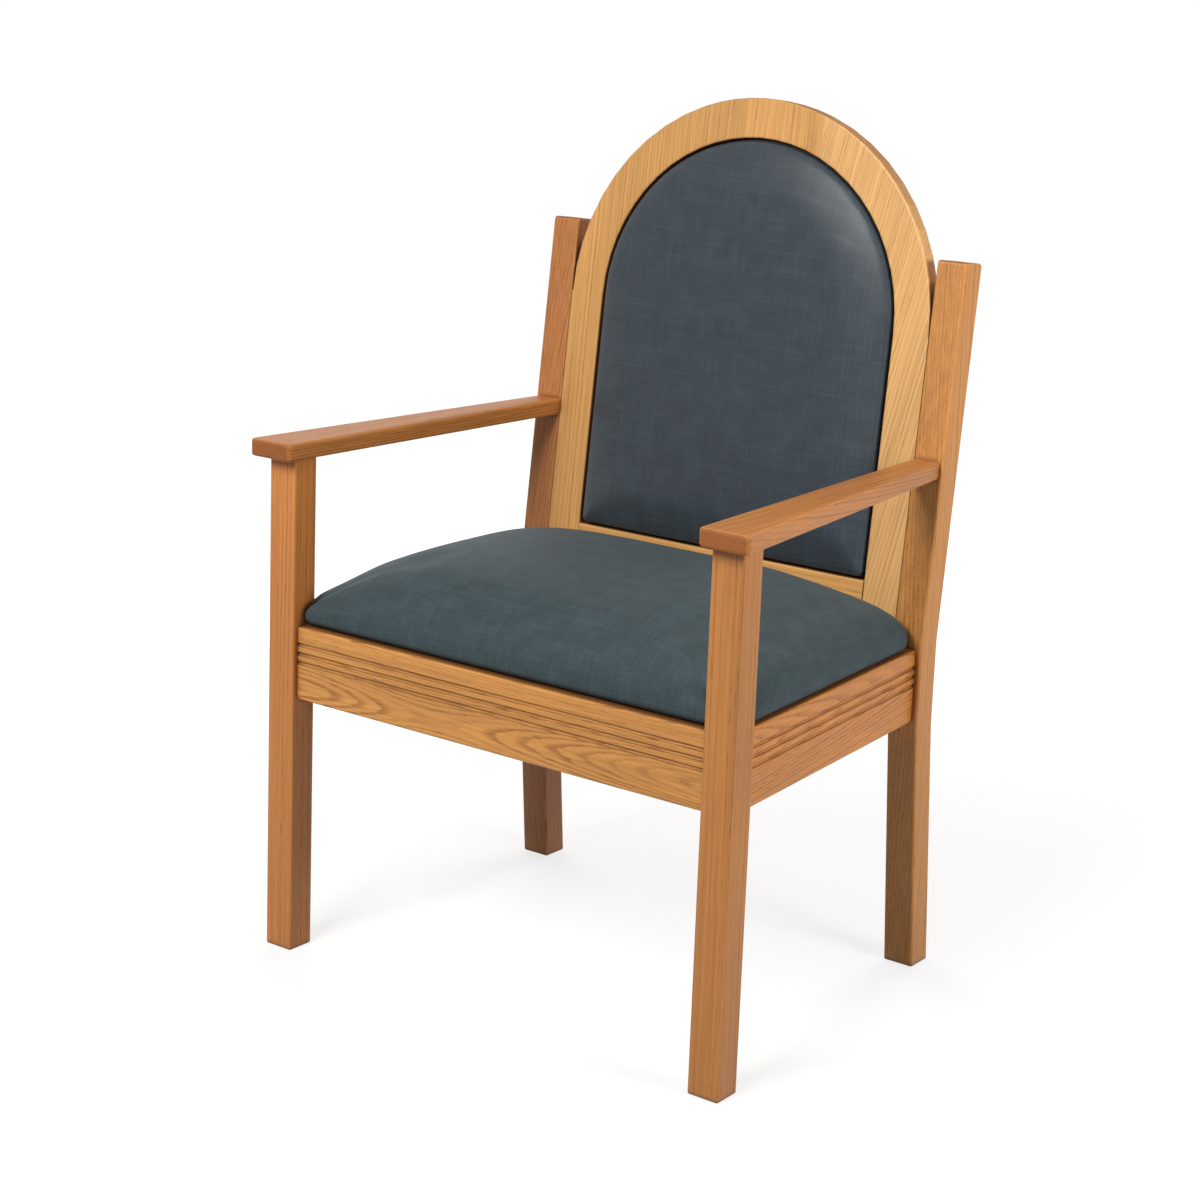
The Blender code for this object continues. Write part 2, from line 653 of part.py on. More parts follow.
def crowned_rings(ring, edge, crown, fullness, limit):
    """Rings of a padded face from its middle out to its widest line.

    ring(share) gives the outline drawn in to a share of its size, which ends at limit.
    Heights run from crown in the middle to edge at the widest line.
    """
    rings = []
    for k in range(CUSHION_STEPS + 1):
        turn = pi / 2 * (1 - k / CUSHION_STEPS)
        share = cos(turn) ** (2 / fullness) * limit if k else 0
        rings.append((ring(share), edge + (crown - edge) * sin(turn)))
    return rings


def add_back_pad(parent):
    """Padded insert of the back: board, foam and fitted cover."""
    sill = up_rake(PAD_SILL) + PAD_CLEAR
    radius = OPENING - PAD_CLEAR
    outline = spaced(arch_outline(radius, sill), CUSHION_GRID)
    middle = (0, (sill + up_rake(ARCH_SPRING) + radius) / 2)
    edge, crown = ARCH_FRONT + PAD_EDGE, ARCH_FRONT + PAD_EDGE - PAD_CROWN
    rear = PANEL_FACE - FIT
    board_back = rear - PAD_COVER - FIT
    board_front = board_back - PAD_BOARD

    def ring(share):
        """The pad outline drawn in towards its middle."""
        return scaled(outline, middle, share) if share else [middle]

    def inside(distance):
        """The share of the outline that lies a distance inside it."""
        return 1 - distance / radius

    def place(rings):
        """Outlines at their depths, as points."""
        return [[(a, depth, b) for a, b in points] for points, depth in rings]

    wall, core = inside(PAD_COVER), inside(PAD_COVER + CORE_CLEAR)
    outer = crowned_rings(ring, edge, crown, PAD_FULLNESS, 1)
    under = [(ring(1), rear), (ring(inside(PAD_FLANGE)), rear), (ring(inside(PAD_FLANGE)), rear - PAD_COVER),
             (ring(wall), rear - PAD_COVER)]
    inner = crowned_rings(ring, edge, crown + PAD_COVER, PAD_FULLNESS, wall)
    skin = loft(place(outer + under + inner[::-1]))
    piece("back_pad_cover", skin, "slate_fabric", parent, smooth=True)
    foam = crowned_rings(ring, edge, crown + PAD_COVER + CORE_CLEAR, PAD_FULLNESS, core)
    foam.append((ring(core), board_front - FIT))
    piece("back_pad_foam", loft(place(foam)), "seat_foam", parent, smooth=True)
    board = [(ring(core), board_front), (ring(core), board_back)]
    piece("back_pad_board", loft(place(board)), "birch_plywood", parent)


def seat_outline():
    """Plan of the seat at its widest line: round the front legs and up to the posts."""
    notch = LEG_DEPTH + SEAT_CLEAR
    back = SEAT_DEPTH - SEAT_CLEAR
    between = LEG_INNER - SEAT_CLEAR
    inset = RAIL_SETBACK + SEAT_INSET
    right = [(between, inset, SEAT_FRONT_CORNER), (between, notch, SEAT_NOTCH_CORNER),
             (half_width(notch) - inset, notch, SEAT_SIDE_CORNER),
             (half_width(back) - inset, back, SEAT_REAR_CORNER)]
    left = [(-a, b, radius) for a, b, radius in reversed(right)]
    return spaced(fillet(right + left, 2), CUSHION_GRID)


def add_seat(seat_holes, parent):
    """Upholstered seat: board, foam, fitted cover and the dust cover under it."""
    outline = seat_outline()
    reach = SEAT_DEPTH / 2
    middle = (0, (RAIL_SETBACK + SEAT_DEPTH) / 2)
    across = half_width(middle[1]) - RAIL_SETBACK

    def oval(a, b):
        """The point of a squarish oval in the direction of an outline point."""
        u, v = (a - middle[0]) / across, (b - middle[1]) / reach
        size = (abs(u) ** 4 + abs(v) ** 4) ** 0.25
        return (middle[0] + (a - middle[0]) / size, middle[1] + (b - middle[1]) / size)

    def ring(share):
        """The seat outline drawn in, losing its notches towards the middle."""
        shift = SEAT_CROWN_BACK * (1 - share)
        if not share:
            return [(middle[0], middle[1] + shift)]
        blend = min(1, (1 - share) / SEAT_BLEND)
        mixed = [(a + (oval(a, b)[0] - a) * blend, b + (oval(a, b)[1] - b) * blend) for a, b in outline]
        return [(a, b + shift) for a, b in scaled(mixed, middle, share)]

    def inside(distance):
        """The share of the outline that lies a distance inside it."""
        return 1 - distance / reach

    notch = LEG_DEPTH + SEAT_CLEAR
    beside_leg = Vector((half_width(notch) - RAIL_SETBACK - SEAT_INSET, notch))

    def dipped(a, b, height):
        """The height of a point, pulled down beside the front legs."""
        near = max(0, 1 - (Vector((abs(a), b)) - beside_leg).length / SEAT_DIP_REACH)
        return height - SEAT_DIP * near * max(0, height - BOARD_TOP - FIT)

    def place(rings):
        """Outlines at their heights, as points."""
        return [[(a, b, dipped(a, b, height)) for a, b in points] for points, height in rings]

    def flat(distance, height):
        """The outline at its full shape, a distance inside, at a height."""
        return (scaled(outline, middle, inside(distance)), height)

    def drawn_in():
        """Rings down the side of the cushion from its widest line to its foot."""
        turns = [pi / 2 * k / SEAT_SIDE_STEPS for k in range(1, SEAT_SIDE_STEPS + 1)]
        return [flat(SEAT_DRAW * (1 - cos(turn)), SEAT_BULGE - (SEAT_BULGE - SEAT_FOOT) * sin(turn))
                for turn in turns]

    wall, core = inside(SEAT_COVER), inside(SEAT_COVER + CORE_CLEAR)
    hem = SEAT_DRAW + SEAT_FLANGE
    outer = crowned_rings(ring, SEAT_BULGE, SEAT_CROWN, SEAT_FULLNESS, 1) + drawn_in()
    under = [flat(hem, SEAT_FOOT), flat(hem, SEAT_LINING), flat(SEAT_DRAW + SEAT_COVER, SEAT_LINING)]
    inner = crowned_rings(ring, SEAT_BULGE, SEAT_CROWN - SEAT_COVER, SEAT_FULLNESS, wall)
    piece("seat_cover", loft(place(outer + under + inner[::-1])), "slate_fabric", parent, smooth=True)

    board = [flat(SEAT_BOARD_INSET, BOARD_FOOT), flat(SEAT_BOARD_INSET, BOARD_TOP)]
    piece("seat_board", loft(place(board)), "birch_plywood", parent, cuts=seat_holes)
    foam = crowned_rings(ring, SEAT_BULGE, SEAT_CROWN - SEAT_COVER - CORE_CLEAR, SEAT_FULLNESS, core)
    foam.append(flat(SEAT_BOARD_INSET, BOARD_TOP + FIT))
    piece("seat_foam", loft(place(foam)), "seat_foam", parent, smooth=True)

    right = [(LEG_INNER - FIT, RAIL_SETBACK + RAIL_THICK + FIT), (LEG_INNER - FIT, LEG_DEPTH + FIT),
             (rail_inner(LEG_DEPTH) - 2 * FIT, LEG_DEPTH + FIT),
             (rail_inner(SEAT_DEPTH) - 2 * FIT, SEAT_DEPTH - FIT),
             (POST_INNER - FIT, SEAT_DEPTH - FIT), (POST_INNER - FIT, SEAT_DEPTH + RAIL_SETBACK - FIT)]
    left = [(-a, b) for a, b in reversed(right)]
    piece("dust_cover", prism(right + left, RAIL_TOP - FIT - DUST_COVER, RAIL_TOP - FIT), "dust_cloth",
          parent, cuts=seat_holes)


def centre_on_floor(root):
    """Move the chair so that the origin is under the middle of its box."""
    bpy.context.view_layer.update()
    shown = [thing for thing in bpy.data.objects if thing.type == "MESH" and not thing.hide_render]
    depths = [(thing.matrix_world @ vert.co).y for thing in shown for vert in thing.data.vertices]
    root.location.y = -(min(depths) + max(depths)) / 2


def add_empty(name, location, parent=None):
    """A guide that carries a group of pieces."""
    empty = bpy.data.objects.new(name, None)
    bpy.context.scene.collection.objects.link(empty)
    empty.location = location
    empty.parent = parent
    return empty


def main():
    """Build the chair."""
    clear_scene()
    root = add_empty("chair", (0, 0, 0))
    back = add_empty("raked_back", (0, SEAT_DEPTH, FLAT_HIGH), root)
    back.rotation_euler.x = -BACK_RAKE

    corners = {(end, name): add_corner(end, name, root) for end in ("front", "rear") for name in SIDES}
    across = {end: [corners[end, name]["rail_screw"] for name in SIDES] for end in ("front", "rear")}
    add_rail("front_rail", front_rail_place, -LEG_INNER, LEG_INNER, True, across["front"], root)
    add_rail("rear_rail", rear_rail_place, -POST_INNER, POST_INNER, False, across["rear"], root)
    for name, side in SIDES.items():
        along = [corners[end, name]["side_screw"] for end in ("front", "rear")]
        add_rail(f"side_rail_{name}", side_rail_place(side), LEG_DEPTH, SEAT_DEPTH, True, along, root)
        add_front_leg(f"front_leg_{name}", side, root)
        stile_holes = tool(f"post_{name}_dowel_holes",
                           [stile_dowel(side, height, FIT) for height in STILE_DOWEL_HEIGHTS], back)
        add_rear_post(f"rear_post_{name}", side, stile_holes, root)
        add_arm(f"arm_{name}", side, root)
        piece(f"arm_front_dowel_{name}", leg_dowel(side), "hidden_hardwood", root, smooth=True)
        piece(f"arm_rear_dowel_{name}", arm_dowel(side), "hidden_hardwood", root, smooth=True)
    add_back_frame(back)
    add_back_pad(back)
    add_seat([holes["seat_screw"] for holes in corners.values()], root)
    centre_on_floor(root)


main()
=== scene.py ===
"""Celebrant chair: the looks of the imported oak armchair, laid out as a Blender add-on.

Metres, +Z up, the front towards -Y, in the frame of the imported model.
"""

import bpy
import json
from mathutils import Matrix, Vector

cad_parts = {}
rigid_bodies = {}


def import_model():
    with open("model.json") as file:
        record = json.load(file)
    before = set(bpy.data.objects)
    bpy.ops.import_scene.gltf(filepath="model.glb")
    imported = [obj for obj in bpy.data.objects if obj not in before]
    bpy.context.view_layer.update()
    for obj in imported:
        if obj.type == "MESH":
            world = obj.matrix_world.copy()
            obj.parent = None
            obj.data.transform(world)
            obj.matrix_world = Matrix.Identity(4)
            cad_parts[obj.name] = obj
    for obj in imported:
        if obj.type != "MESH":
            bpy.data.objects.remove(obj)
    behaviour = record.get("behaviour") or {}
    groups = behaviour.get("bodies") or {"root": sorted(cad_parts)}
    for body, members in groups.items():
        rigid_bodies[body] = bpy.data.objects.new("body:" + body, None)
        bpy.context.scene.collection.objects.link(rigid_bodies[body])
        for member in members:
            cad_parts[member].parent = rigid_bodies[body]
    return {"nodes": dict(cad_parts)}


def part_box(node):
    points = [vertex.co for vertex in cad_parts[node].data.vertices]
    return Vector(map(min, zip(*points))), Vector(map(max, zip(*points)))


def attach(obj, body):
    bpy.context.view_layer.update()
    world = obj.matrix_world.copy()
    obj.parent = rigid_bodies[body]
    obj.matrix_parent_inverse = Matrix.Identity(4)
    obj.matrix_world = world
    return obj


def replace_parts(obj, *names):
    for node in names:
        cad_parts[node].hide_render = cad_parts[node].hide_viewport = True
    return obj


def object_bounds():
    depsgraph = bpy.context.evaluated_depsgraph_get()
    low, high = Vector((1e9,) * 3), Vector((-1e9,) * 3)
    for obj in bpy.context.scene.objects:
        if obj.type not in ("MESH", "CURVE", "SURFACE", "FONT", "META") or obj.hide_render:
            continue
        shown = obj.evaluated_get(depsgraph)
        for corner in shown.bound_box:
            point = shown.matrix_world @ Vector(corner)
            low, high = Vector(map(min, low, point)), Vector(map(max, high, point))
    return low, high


for leftover in list(bpy.data.objects):
    bpy.data.objects.remove(leftover)
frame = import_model()

import json
from functools import reduce
from math import atan2, ceil, cos, pi, radians, sin, tan
from typing import NamedTuple

import bmesh
import numpy as np
from bpy.props import FloatProperty, FloatVectorProperty, IntProperty, PointerProperty
from mathutils import Matrix, Vector
from mathutils.bvhtree import BVHTree

bl_info = {
    "name": "Celebrant Chair",
    "version": (1, 0, 0),
    "blender": (4, 5, 0),
    "location": "3D View > Sidebar > Chair",
    "description": "Dresses the packed oak armchair: wood finishes, upholstery, fixings and a plain stage",
    "category": "Object",
}

NODES = frame["nodes"]
CAD_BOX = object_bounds()
SIDES = {"left": -1, "right": 1}
BACK_RAKE = radians(6.3)     # lean of the back from upright
TO_RAKED = Matrix.Rotation(BACK_RAKE, 4, "X")       # turns the chair so that its back stands upright
FROM_RAKED = TO_RAKED.inverted()

X_AXIS, Y_AXIS, Z_AXIS = (1.0, 0.0, 0.0), (0.0, 1.0, 0.0), (0.0, 0.0, 1.0)
UP_RAKE = (0.0, sin(BACK_RAKE), cos(BACK_RAKE))

# Camera of the photograph, in a square picture
CAMERA_PLACE = (1.756242, -2.442401, 1.250142)
CAMERA_TURN = 0.6424         # round the chair from the front, towards its right
CAMERA_RISE = 0.2123
CAMERA_ROLL = 0.0355
CAMERA_SENSOR = 36.0
CAMERA_LENS = 75.61
CAMERA_SHIFT = (0.0155, -0.0928)


# Sizes and colours that a user may change

def a_colour(name, description, default):
    """The field of a colour."""
    return FloatVectorProperty(name=name, description=description, subtype="COLOR", size=3,
                               min=0.0, max=1.0, default=default)


def a_length(name, description, low, high, default):
    """The field of a length."""
    return FloatProperty(name=name, description=description, unit="LENGTH",
                         min=low, max=high, default=default)


def a_share(name, description, default):
    """The field of a share of the whole."""
    return FloatProperty(name=name, description=description, subtype="FACTOR",
                         min=0.0, max=1.0, default=default)


def a_power(name, description, default):
    """The field of a lamp's power."""
    return FloatProperty(name=name, description=description, unit="POWER",
                         min=0.0, max=500.0, default=default)


class CHAIR_PG_oak(bpy.types.PropertyGroup):
    """Colours and figure of the lacquered oak."""
    pale: a_colour("Pale Wood", "Colour of the dense summer wood", (0.60, 0.248, 0.060))
    dark: a_colour("Dark Wood", "Colour of the porous spring wood", (0.33, 0.108, 0.022))
    pore: a_colour("Pores", "Colour of the stain in the open pores", (0.21, 0.064, 0.013))
    ring: a_length("Ring Width", "Width of one year's growth", 0.001, 0.01, 0.0042)
    # the paler edges are partly wear and partly painted highlight
    wear: a_share("Edge Wear", "How much paler the eased edges are", 0.45)
    # the corners' darkening is painted shade as well as stain
    stain: a_share("Corner Stain", "How much stain has gathered in corners and grooves", 0.90)


class CHAIR_PG_cloth(bpy.types.PropertyGroup):
    """Colours and weave of the upholstery cloth."""
    colour: a_colour("Cloth", "Colour of the darkest yarns of the slate cloth", (0.0315, 0.044, 0.0515))
    light: a_colour("Light Yarn", "Colour of the lightest yarns", (0.0555, 0.0795, 0.0905))
    thread: a_length("Thread", "Spacing of the yarns", 0.0004, 0.004, 0.0011)
    dust: a_colour("Dust Cloth", "Colour of the cloth under the seat", (0.012, 0.012, 0.013))


class CHAIR_PG_padding(bpy.types.PropertyGroup):
    """How the seat and the back pad are filled."""
    voxel: a_length("Voxel", "Mesh size of the padding while it is simulated", 0.003, 0.01, 0.005)
    seat_swell: a_length("Seat Swell", "How far the seat padding may swell", 0.0, 0.02, 0.007)
    pad_swell: a_length("Back Swell", "How far the back padding may swell", 0.0, 0.02, 0.005)
    clearance: a_length("Clearance", "Gap that stays between padding and wood", 0.0, 0.004, 0.0007)
    fold: a_length("Corner Folds", "Depth of the cloth's folds beside the front legs", 0.0, 0.004, 0.0009)
    tautness: IntProperty(
        name="Tautness", description="How often the swelling is evened out between neighbouring points",
        min=0, max=200, default=40)
    frames: IntProperty(
        name="Frames", description="Length of the simulation", min=2, max=60, default=20)


class CHAIR_PG_stage(bpy.types.PropertyGroup):
    """Floor, lamps and surroundings."""
    floor: a_colour("Floor", "Colour of the floor", (0.30, 0.30, 0.30))
    surround: FloatProperty(
        name="Surround", description="Light from all round", min=0.0, max=2.0, default=0.07)
    front: a_power("Front Lamp", "Power of the lamp in front", 93.0)
    side: a_power("Side Lamps", "Power of each lamp beside the chair", 17.0)
    rear: a_power("Rear Lamp", "Power of the lamp behind", 45.0)


# Node trees

class Net:
    """Short calls that lay out one node tree."""

    def __init__(self, tree):
        self.tree = tree

    def node(self, kind, **settings):
        """A new node with its settings."""
        made = self.tree.nodes.new(kind)
        for key, value in settings.items():
            setattr(made, key, value)
        return made

    def feed(self, socket, value):
        """Link a socket, or set its value."""
        if isinstance(value, bpy.types.NodeSocket):
            self.tree.links.new(value, socket)
        elif isinstance(value, (int, float)):
            socket.default_value = value
        else:
            value = tuple(value)
            short = len(value) < len(socket.default_value)
            socket.default_value = (*value, 1.0) if short else value

    def filled(self, made, values):
        """A node with its first inputs fed."""
        for socket, value in zip(made.inputs, values):
            self.feed(socket, value)
        return made

    def math(self, operation, *values):
        """One operation on numbers."""
        return self.filled(self.node("ShaderNodeMath", operation=operation), values).outputs[0]

    def times(self, *values):
        """Numbers multiplied."""
        return reduce(lambda one, two: self.math("MULTIPLY", one, two), values)

    def plus(self, *values):
        """Numbers added up."""
        return reduce(lambda one, two: self.math("ADD", one, two), values)

    def vector(self, operation, *values):
        """One operation on vectors."""
        made = self.filled(self.node("ShaderNodeVectorMath", operation=operation), values)
        return made.outputs["Value" if operation in ("DOT_PRODUCT", "LENGTH") else "Vector"]

    def fit(self, value, low, high, to_low=0.0, to_high=1.0):
        """A value eased from one range into another."""
        made = self.node("ShaderNodeMapRange", interpolation_type="SMOOTHSTEP")
        return self.filled(made, (value, low, high, to_low, to_high)).outputs[0]

    def mix(self, share, one, two, blend="MIX"):
        """Two colours mixed."""
        made = self.node("ShaderNodeMix", data_type="RGBA", blend_type=blend)
        for key, value in ((0, share), (6, one), (7, two)):
            self.feed(made.inputs[key], value)
        return made.outputs[2]

    def noise(self, place, stretch, detail=2.0, output=0):
        """Noise over a stretched place."""
        made = self.node("ShaderNodeTexNoise")
        self.feed(made.inputs["Vector"], self.vector("MULTIPLY", place, stretch))
        self.feed(made.inputs["Scale"], 1.0)
        self.feed(made.inputs["Detail"], detail)
        return made.outputs[output]

    def chance(self, value):
        """A fixed random number for each whole value."""
        made = self.node("ShaderNodeTexWhiteNoise", noise_dimensions="1D")
        self.feed(made.inputs["W"], value)
        return made.outputs["Value"]

    def joined(self, x, y, z):
        """A vector from three numbers."""
        return self.filled(self.node("ShaderNodeCombineXYZ"), (x, y, z)).outputs[0]

    def spot(self):
        """The place on the object."""
        return self.node("ShaderNodeTexCoord").outputs["Object"]

    def seen(self):
        """1 where the camera, a reflection or glass looks, and 0 for light that only falls in."""
        path = self.node("ShaderNodeLightPath").outputs
        mirrored_or_through = self.math("MAXIMUM", path["Is Glossy Ray"], path["Is Transmission Ray"])
        return self.math("MAXIMUM", path["Is Camera Ray"], mirrored_or_through)

    def group(self, tree, **values):
        """A node group with its inputs fed; underscores in names stand for spaces."""
        made = self.node("ShaderNodeGroup")
        made.node_tree = tree
        for key, value in values.items():
            self.feed(made.inputs[key.replace("_", " ")], value)
        return made.outputs


def new_group(name, inputs, outputs):
    """An empty node group and its net, inputs and outputs."""
    tree = bpy.data.node_groups.new(name, "ShaderNodeTree")
    kinds = {"colour": "NodeSocketColor", "value": "NodeSocketFloat", "vector": "NodeSocketVector"}
    for way, sockets in (("INPUT", inputs), ("OUTPUT", outputs)):
        for socket, kind in sockets.items():
            tree.interface.new_socket(name=socket, in_out=way, socket_type=kinds[kind])
    net = Net(tree)
    return tree, net, net.node("NodeGroupInput").outputs, net.node("NodeGroupOutput").inputs


def once(build):
    """A builder whose result is kept in the file under the builder's name."""
    def found():
        return bpy.data.node_groups.get(build.__name__) or build()
    return found


@once
def wood_grain():
    """Growth rings, pores and streaks of a board cut from a log whose heart runs along it."""
    tree, net, given, put = new_group("wood_grain", {
        "Along": "vector", "Across": "vector", "Heart": "vector", "Ring Width": "value", "Wander": "value",
        "Pale": "colour", "Dark": "colour", "Pore": "colour", "Figure": "value", "Pore Share": "value",
    }, {"Color": "colour", "Roughness": "value", "Height": "value"})
    spot = net.node("ShaderNodeTexCoord").outputs
    along, across = given["Along"], given["Across"]
    deep = net.vector("CROSS_PRODUCT", along, across)
    board = net.joined(*(net.vector("DOT_PRODUCT", spot["Object"], way) for way in (across, deep, along)))
    board = net.vector("SUBTRACT", board, given["Heart"])

    drift = net.vector("SUBTRACT", net.noise(board, (5.0, 5.0, 1.7), 1.0, 1), (0.5, 0.5, 0.5))
    drift = net.vector("MULTIPLY", drift, given["Wander"])
    bent = net.vector("MULTIPLY", net.vector("ADD", board, drift), (1.0, 1.0, 0.0))
    ragged = net.times(net.noise(board, (300.0, 300.0, 10.0)), 0.0011)
    count = net.math("DIVIDE", net.plus(net.vector("LENGTH", bent), ragged), given["Ring Width"])
    part = net.math("FRACT", count)
    rise = net.fit(part, 0.0, 0.08)
    fall = net.fit(part, 0.16, 0.60, 1.0, 0.0)
    weight = net.fit(net.chance(net.math("FLOOR", count)), 0.0, 1.0, 0.25, 1.0)
    spring = net.times(rise, fall, weight)

    facing = net.math("ABSOLUTE", net.vector("DOT_PRODUCT", spot["Normal"], along))
    end = net.fit(facing, 0.45, 0.95)
    long_grain = net.math("SUBTRACT", 1.0, end)
    pores = net.times(net.fit(net.noise(board, (1300.0, 1300.0, 42.0), 1.0), 0.53, 0.66),
                      net.fit(spring, 0.0, 0.7, 0.16, 1.0), given["Pore Share"],
                      net.fit(end, 0.0, 1.0, 1.0, 0.2))
    streak = net.noise(board, (330.0, 330.0, 5.0))
    cloud = net.noise(board, (14.0, 14.0, 2.4))

    colour = net.mix(net.times(spring, given["Figure"]), given["Pale"], given["Dark"])
    colour = net.mix(net.times(end, 0.85), colour, given["Dark"])
    colour = net.mix(pores, colour, given["Pore"])
    shade = net.plus(net.fit(streak, 0.25, 0.75, 0.84, 1.08), net.fit(cloud, 0.25, 0.75, -0.10, 0.08))
    colour = net.mix(1.0, colour, net.joined(shade, shade, shade), "MULTIPLY")

    net.feed(put["Color"], colour)
    rough = net.plus(net.fit(streak, 0.2, 0.8, 0.38, 0.50), net.times(pores, 0.22), net.times(end, 0.25))
    net.feed(put["Roughness"], rough)
    relief = net.math("SUBTRACT", net.times(spring, -0.25), pores)
    net.feed(put["Height"], net.times(relief, long_grain))
    return tree


@once
def edge_wear():
    """Mask of the eased edges, broken up as handling leaves them; their paler colour is partly wear and
    partly painted highlight.
    """
    tree, net, given, put = new_group("edge_wear", {"Reach": "value"}, {"Mask": "value"})
    round_over = net.node("ShaderNodeBevel", samples=6)
    net.feed(round_over.inputs["Radius"], given["Reach"])
    true = net.node("ShaderNodeNewGeometry").outputs["True Normal"]
    flat = net.vector("DOT_PRODUCT", round_over.outputs[0], true)
    broken = net.fit(net.noise(net.spot(), (70.0, 70.0, 70.0), 3.0), 0.3, 0.7, 0.45, 1.0)
    net.feed(put["Mask"], net.times(net.fit(flat, 0.985, 0.86), broken))
    return tree


@once
def corner_stain():
    """Mask of corners, grooves and joints: painted shade where little light reaches, and the stain and dust
    that gather there.
    """
    tree, net, given, put = new_group("corner_stain", {"Reach": "value"}, {"Mask": "value"})
    open_sky = net.node("ShaderNodeAmbientOcclusion", samples=6)
    net.feed(open_sky.inputs["Distance"], given["Reach"])
    net.feed(put["Mask"], net.fit(open_sky.outputs["AO"], 0.90, 0.34))
    return tree


@once
def plain_weave():
    """Yarns of a plain weave over a place in the cloth's own plane."""
    tree, net, given, put = new_group("plain_weave", {"Place": "vector", "Thread": "value"},
                                      {"Tone": "value", "Height": "value"})
    wobble = net.vector("SUBTRACT", net.noise(given["Place"], (160.0, 160.0, 160.0), 1.0, 1), (0.5, 0.5, 0.5))
    scaled = net.vector("DIVIDE", given["Place"], net.joined(*[given["Thread"]] * 3))
    parted = net.node("ShaderNodeSeparateXYZ")
    net.feed(parted.inputs[0], net.vector("ADD", scaled, net.vector("MULTIPLY", wobble, (0.8, 0.8, 0.0))))
    yarns, crowns = [], []
    for axis in ("X", "Y"):
        yarns.append(net.math("FLOOR", parted.outputs[axis]))
        middle = net.math("SUBTRACT", net.times(net.math("FRACT", parted.outputs[axis]), 2.0), 1.0)
        crowns.append(net.math("SUBTRACT", 1.0, net.times(middle, middle)))
    over = net.times(net.math("FRACT", net.times(net.plus(*yarns), 0.5)), 2.0)
    warp = net.times(crowns[0], net.fit(over, 0.0, 1.0, 0.4, 1.0))
    weft = net.times(crowns[1], net.fit(over, 0.0, 1.0, 1.0, 0.4))
    tones = [net.chance(net.plus(yarn, shift)) for yarn, shift in zip(yarns, (0.0, 7000.0))]
    tone = net.plus(net.times(tones[0], over), net.times(tones[1], net.math("SUBTRACT", 1.0, over)))
    net.feed(put["Height"], net.math("MAXIMUM", warp, weft))
    net.feed(put["Tone"], tone)
    return tree


def new_material(name):
    """A material, its net and its Principled shader."""
    material = bpy.data.materials.new(name)
    material.use_nodes = True
    return material, Net(material.node_tree), material.node_tree.nodes["Principled BSDF"]


def surface(net, shader, colour, rough, relief, depth, strength, **plain):
    """Feed a shader its colour, roughness and relief, and set the values that are the same all over."""
    bump = net.node("ShaderNodeBump")
    bump.inputs["Distance"].default_value = depth
    bump.inputs["Strength"].default_value = strength
    net.feed(bump.inputs["Height"], relief)
    for key, value in (("Base Color", colour), ("Roughness", rough), ("Normal", bump.outputs[0])):
        net.feed(shader.inputs[key], value)
    for key, value in plain.items():
        shader.inputs[key.replace("_", " ")].default_value = value


class Board(NamedTuple):
    """How a board lies in its log, and how it took the stain."""
    along: tuple
    across: tuple
    heart: tuple             # heart of the log from the middle of the board: across, deep, along
    wander: float = 0.012
    figure: float = 0.75
    tone: tuple = (1.0, 1.0, 1.0)
    # paler edges: partly wear, partly painted highlight
    wear: float = 1.0
    beside: str = ""         # node whose grain runs on into this board
    rings: float = 1.0       # width of its rings against the usual
    pores: float = 0.6       # how dark its open pores are
    corner: float = 0.010    # reach of the painted shade and stain in its corners
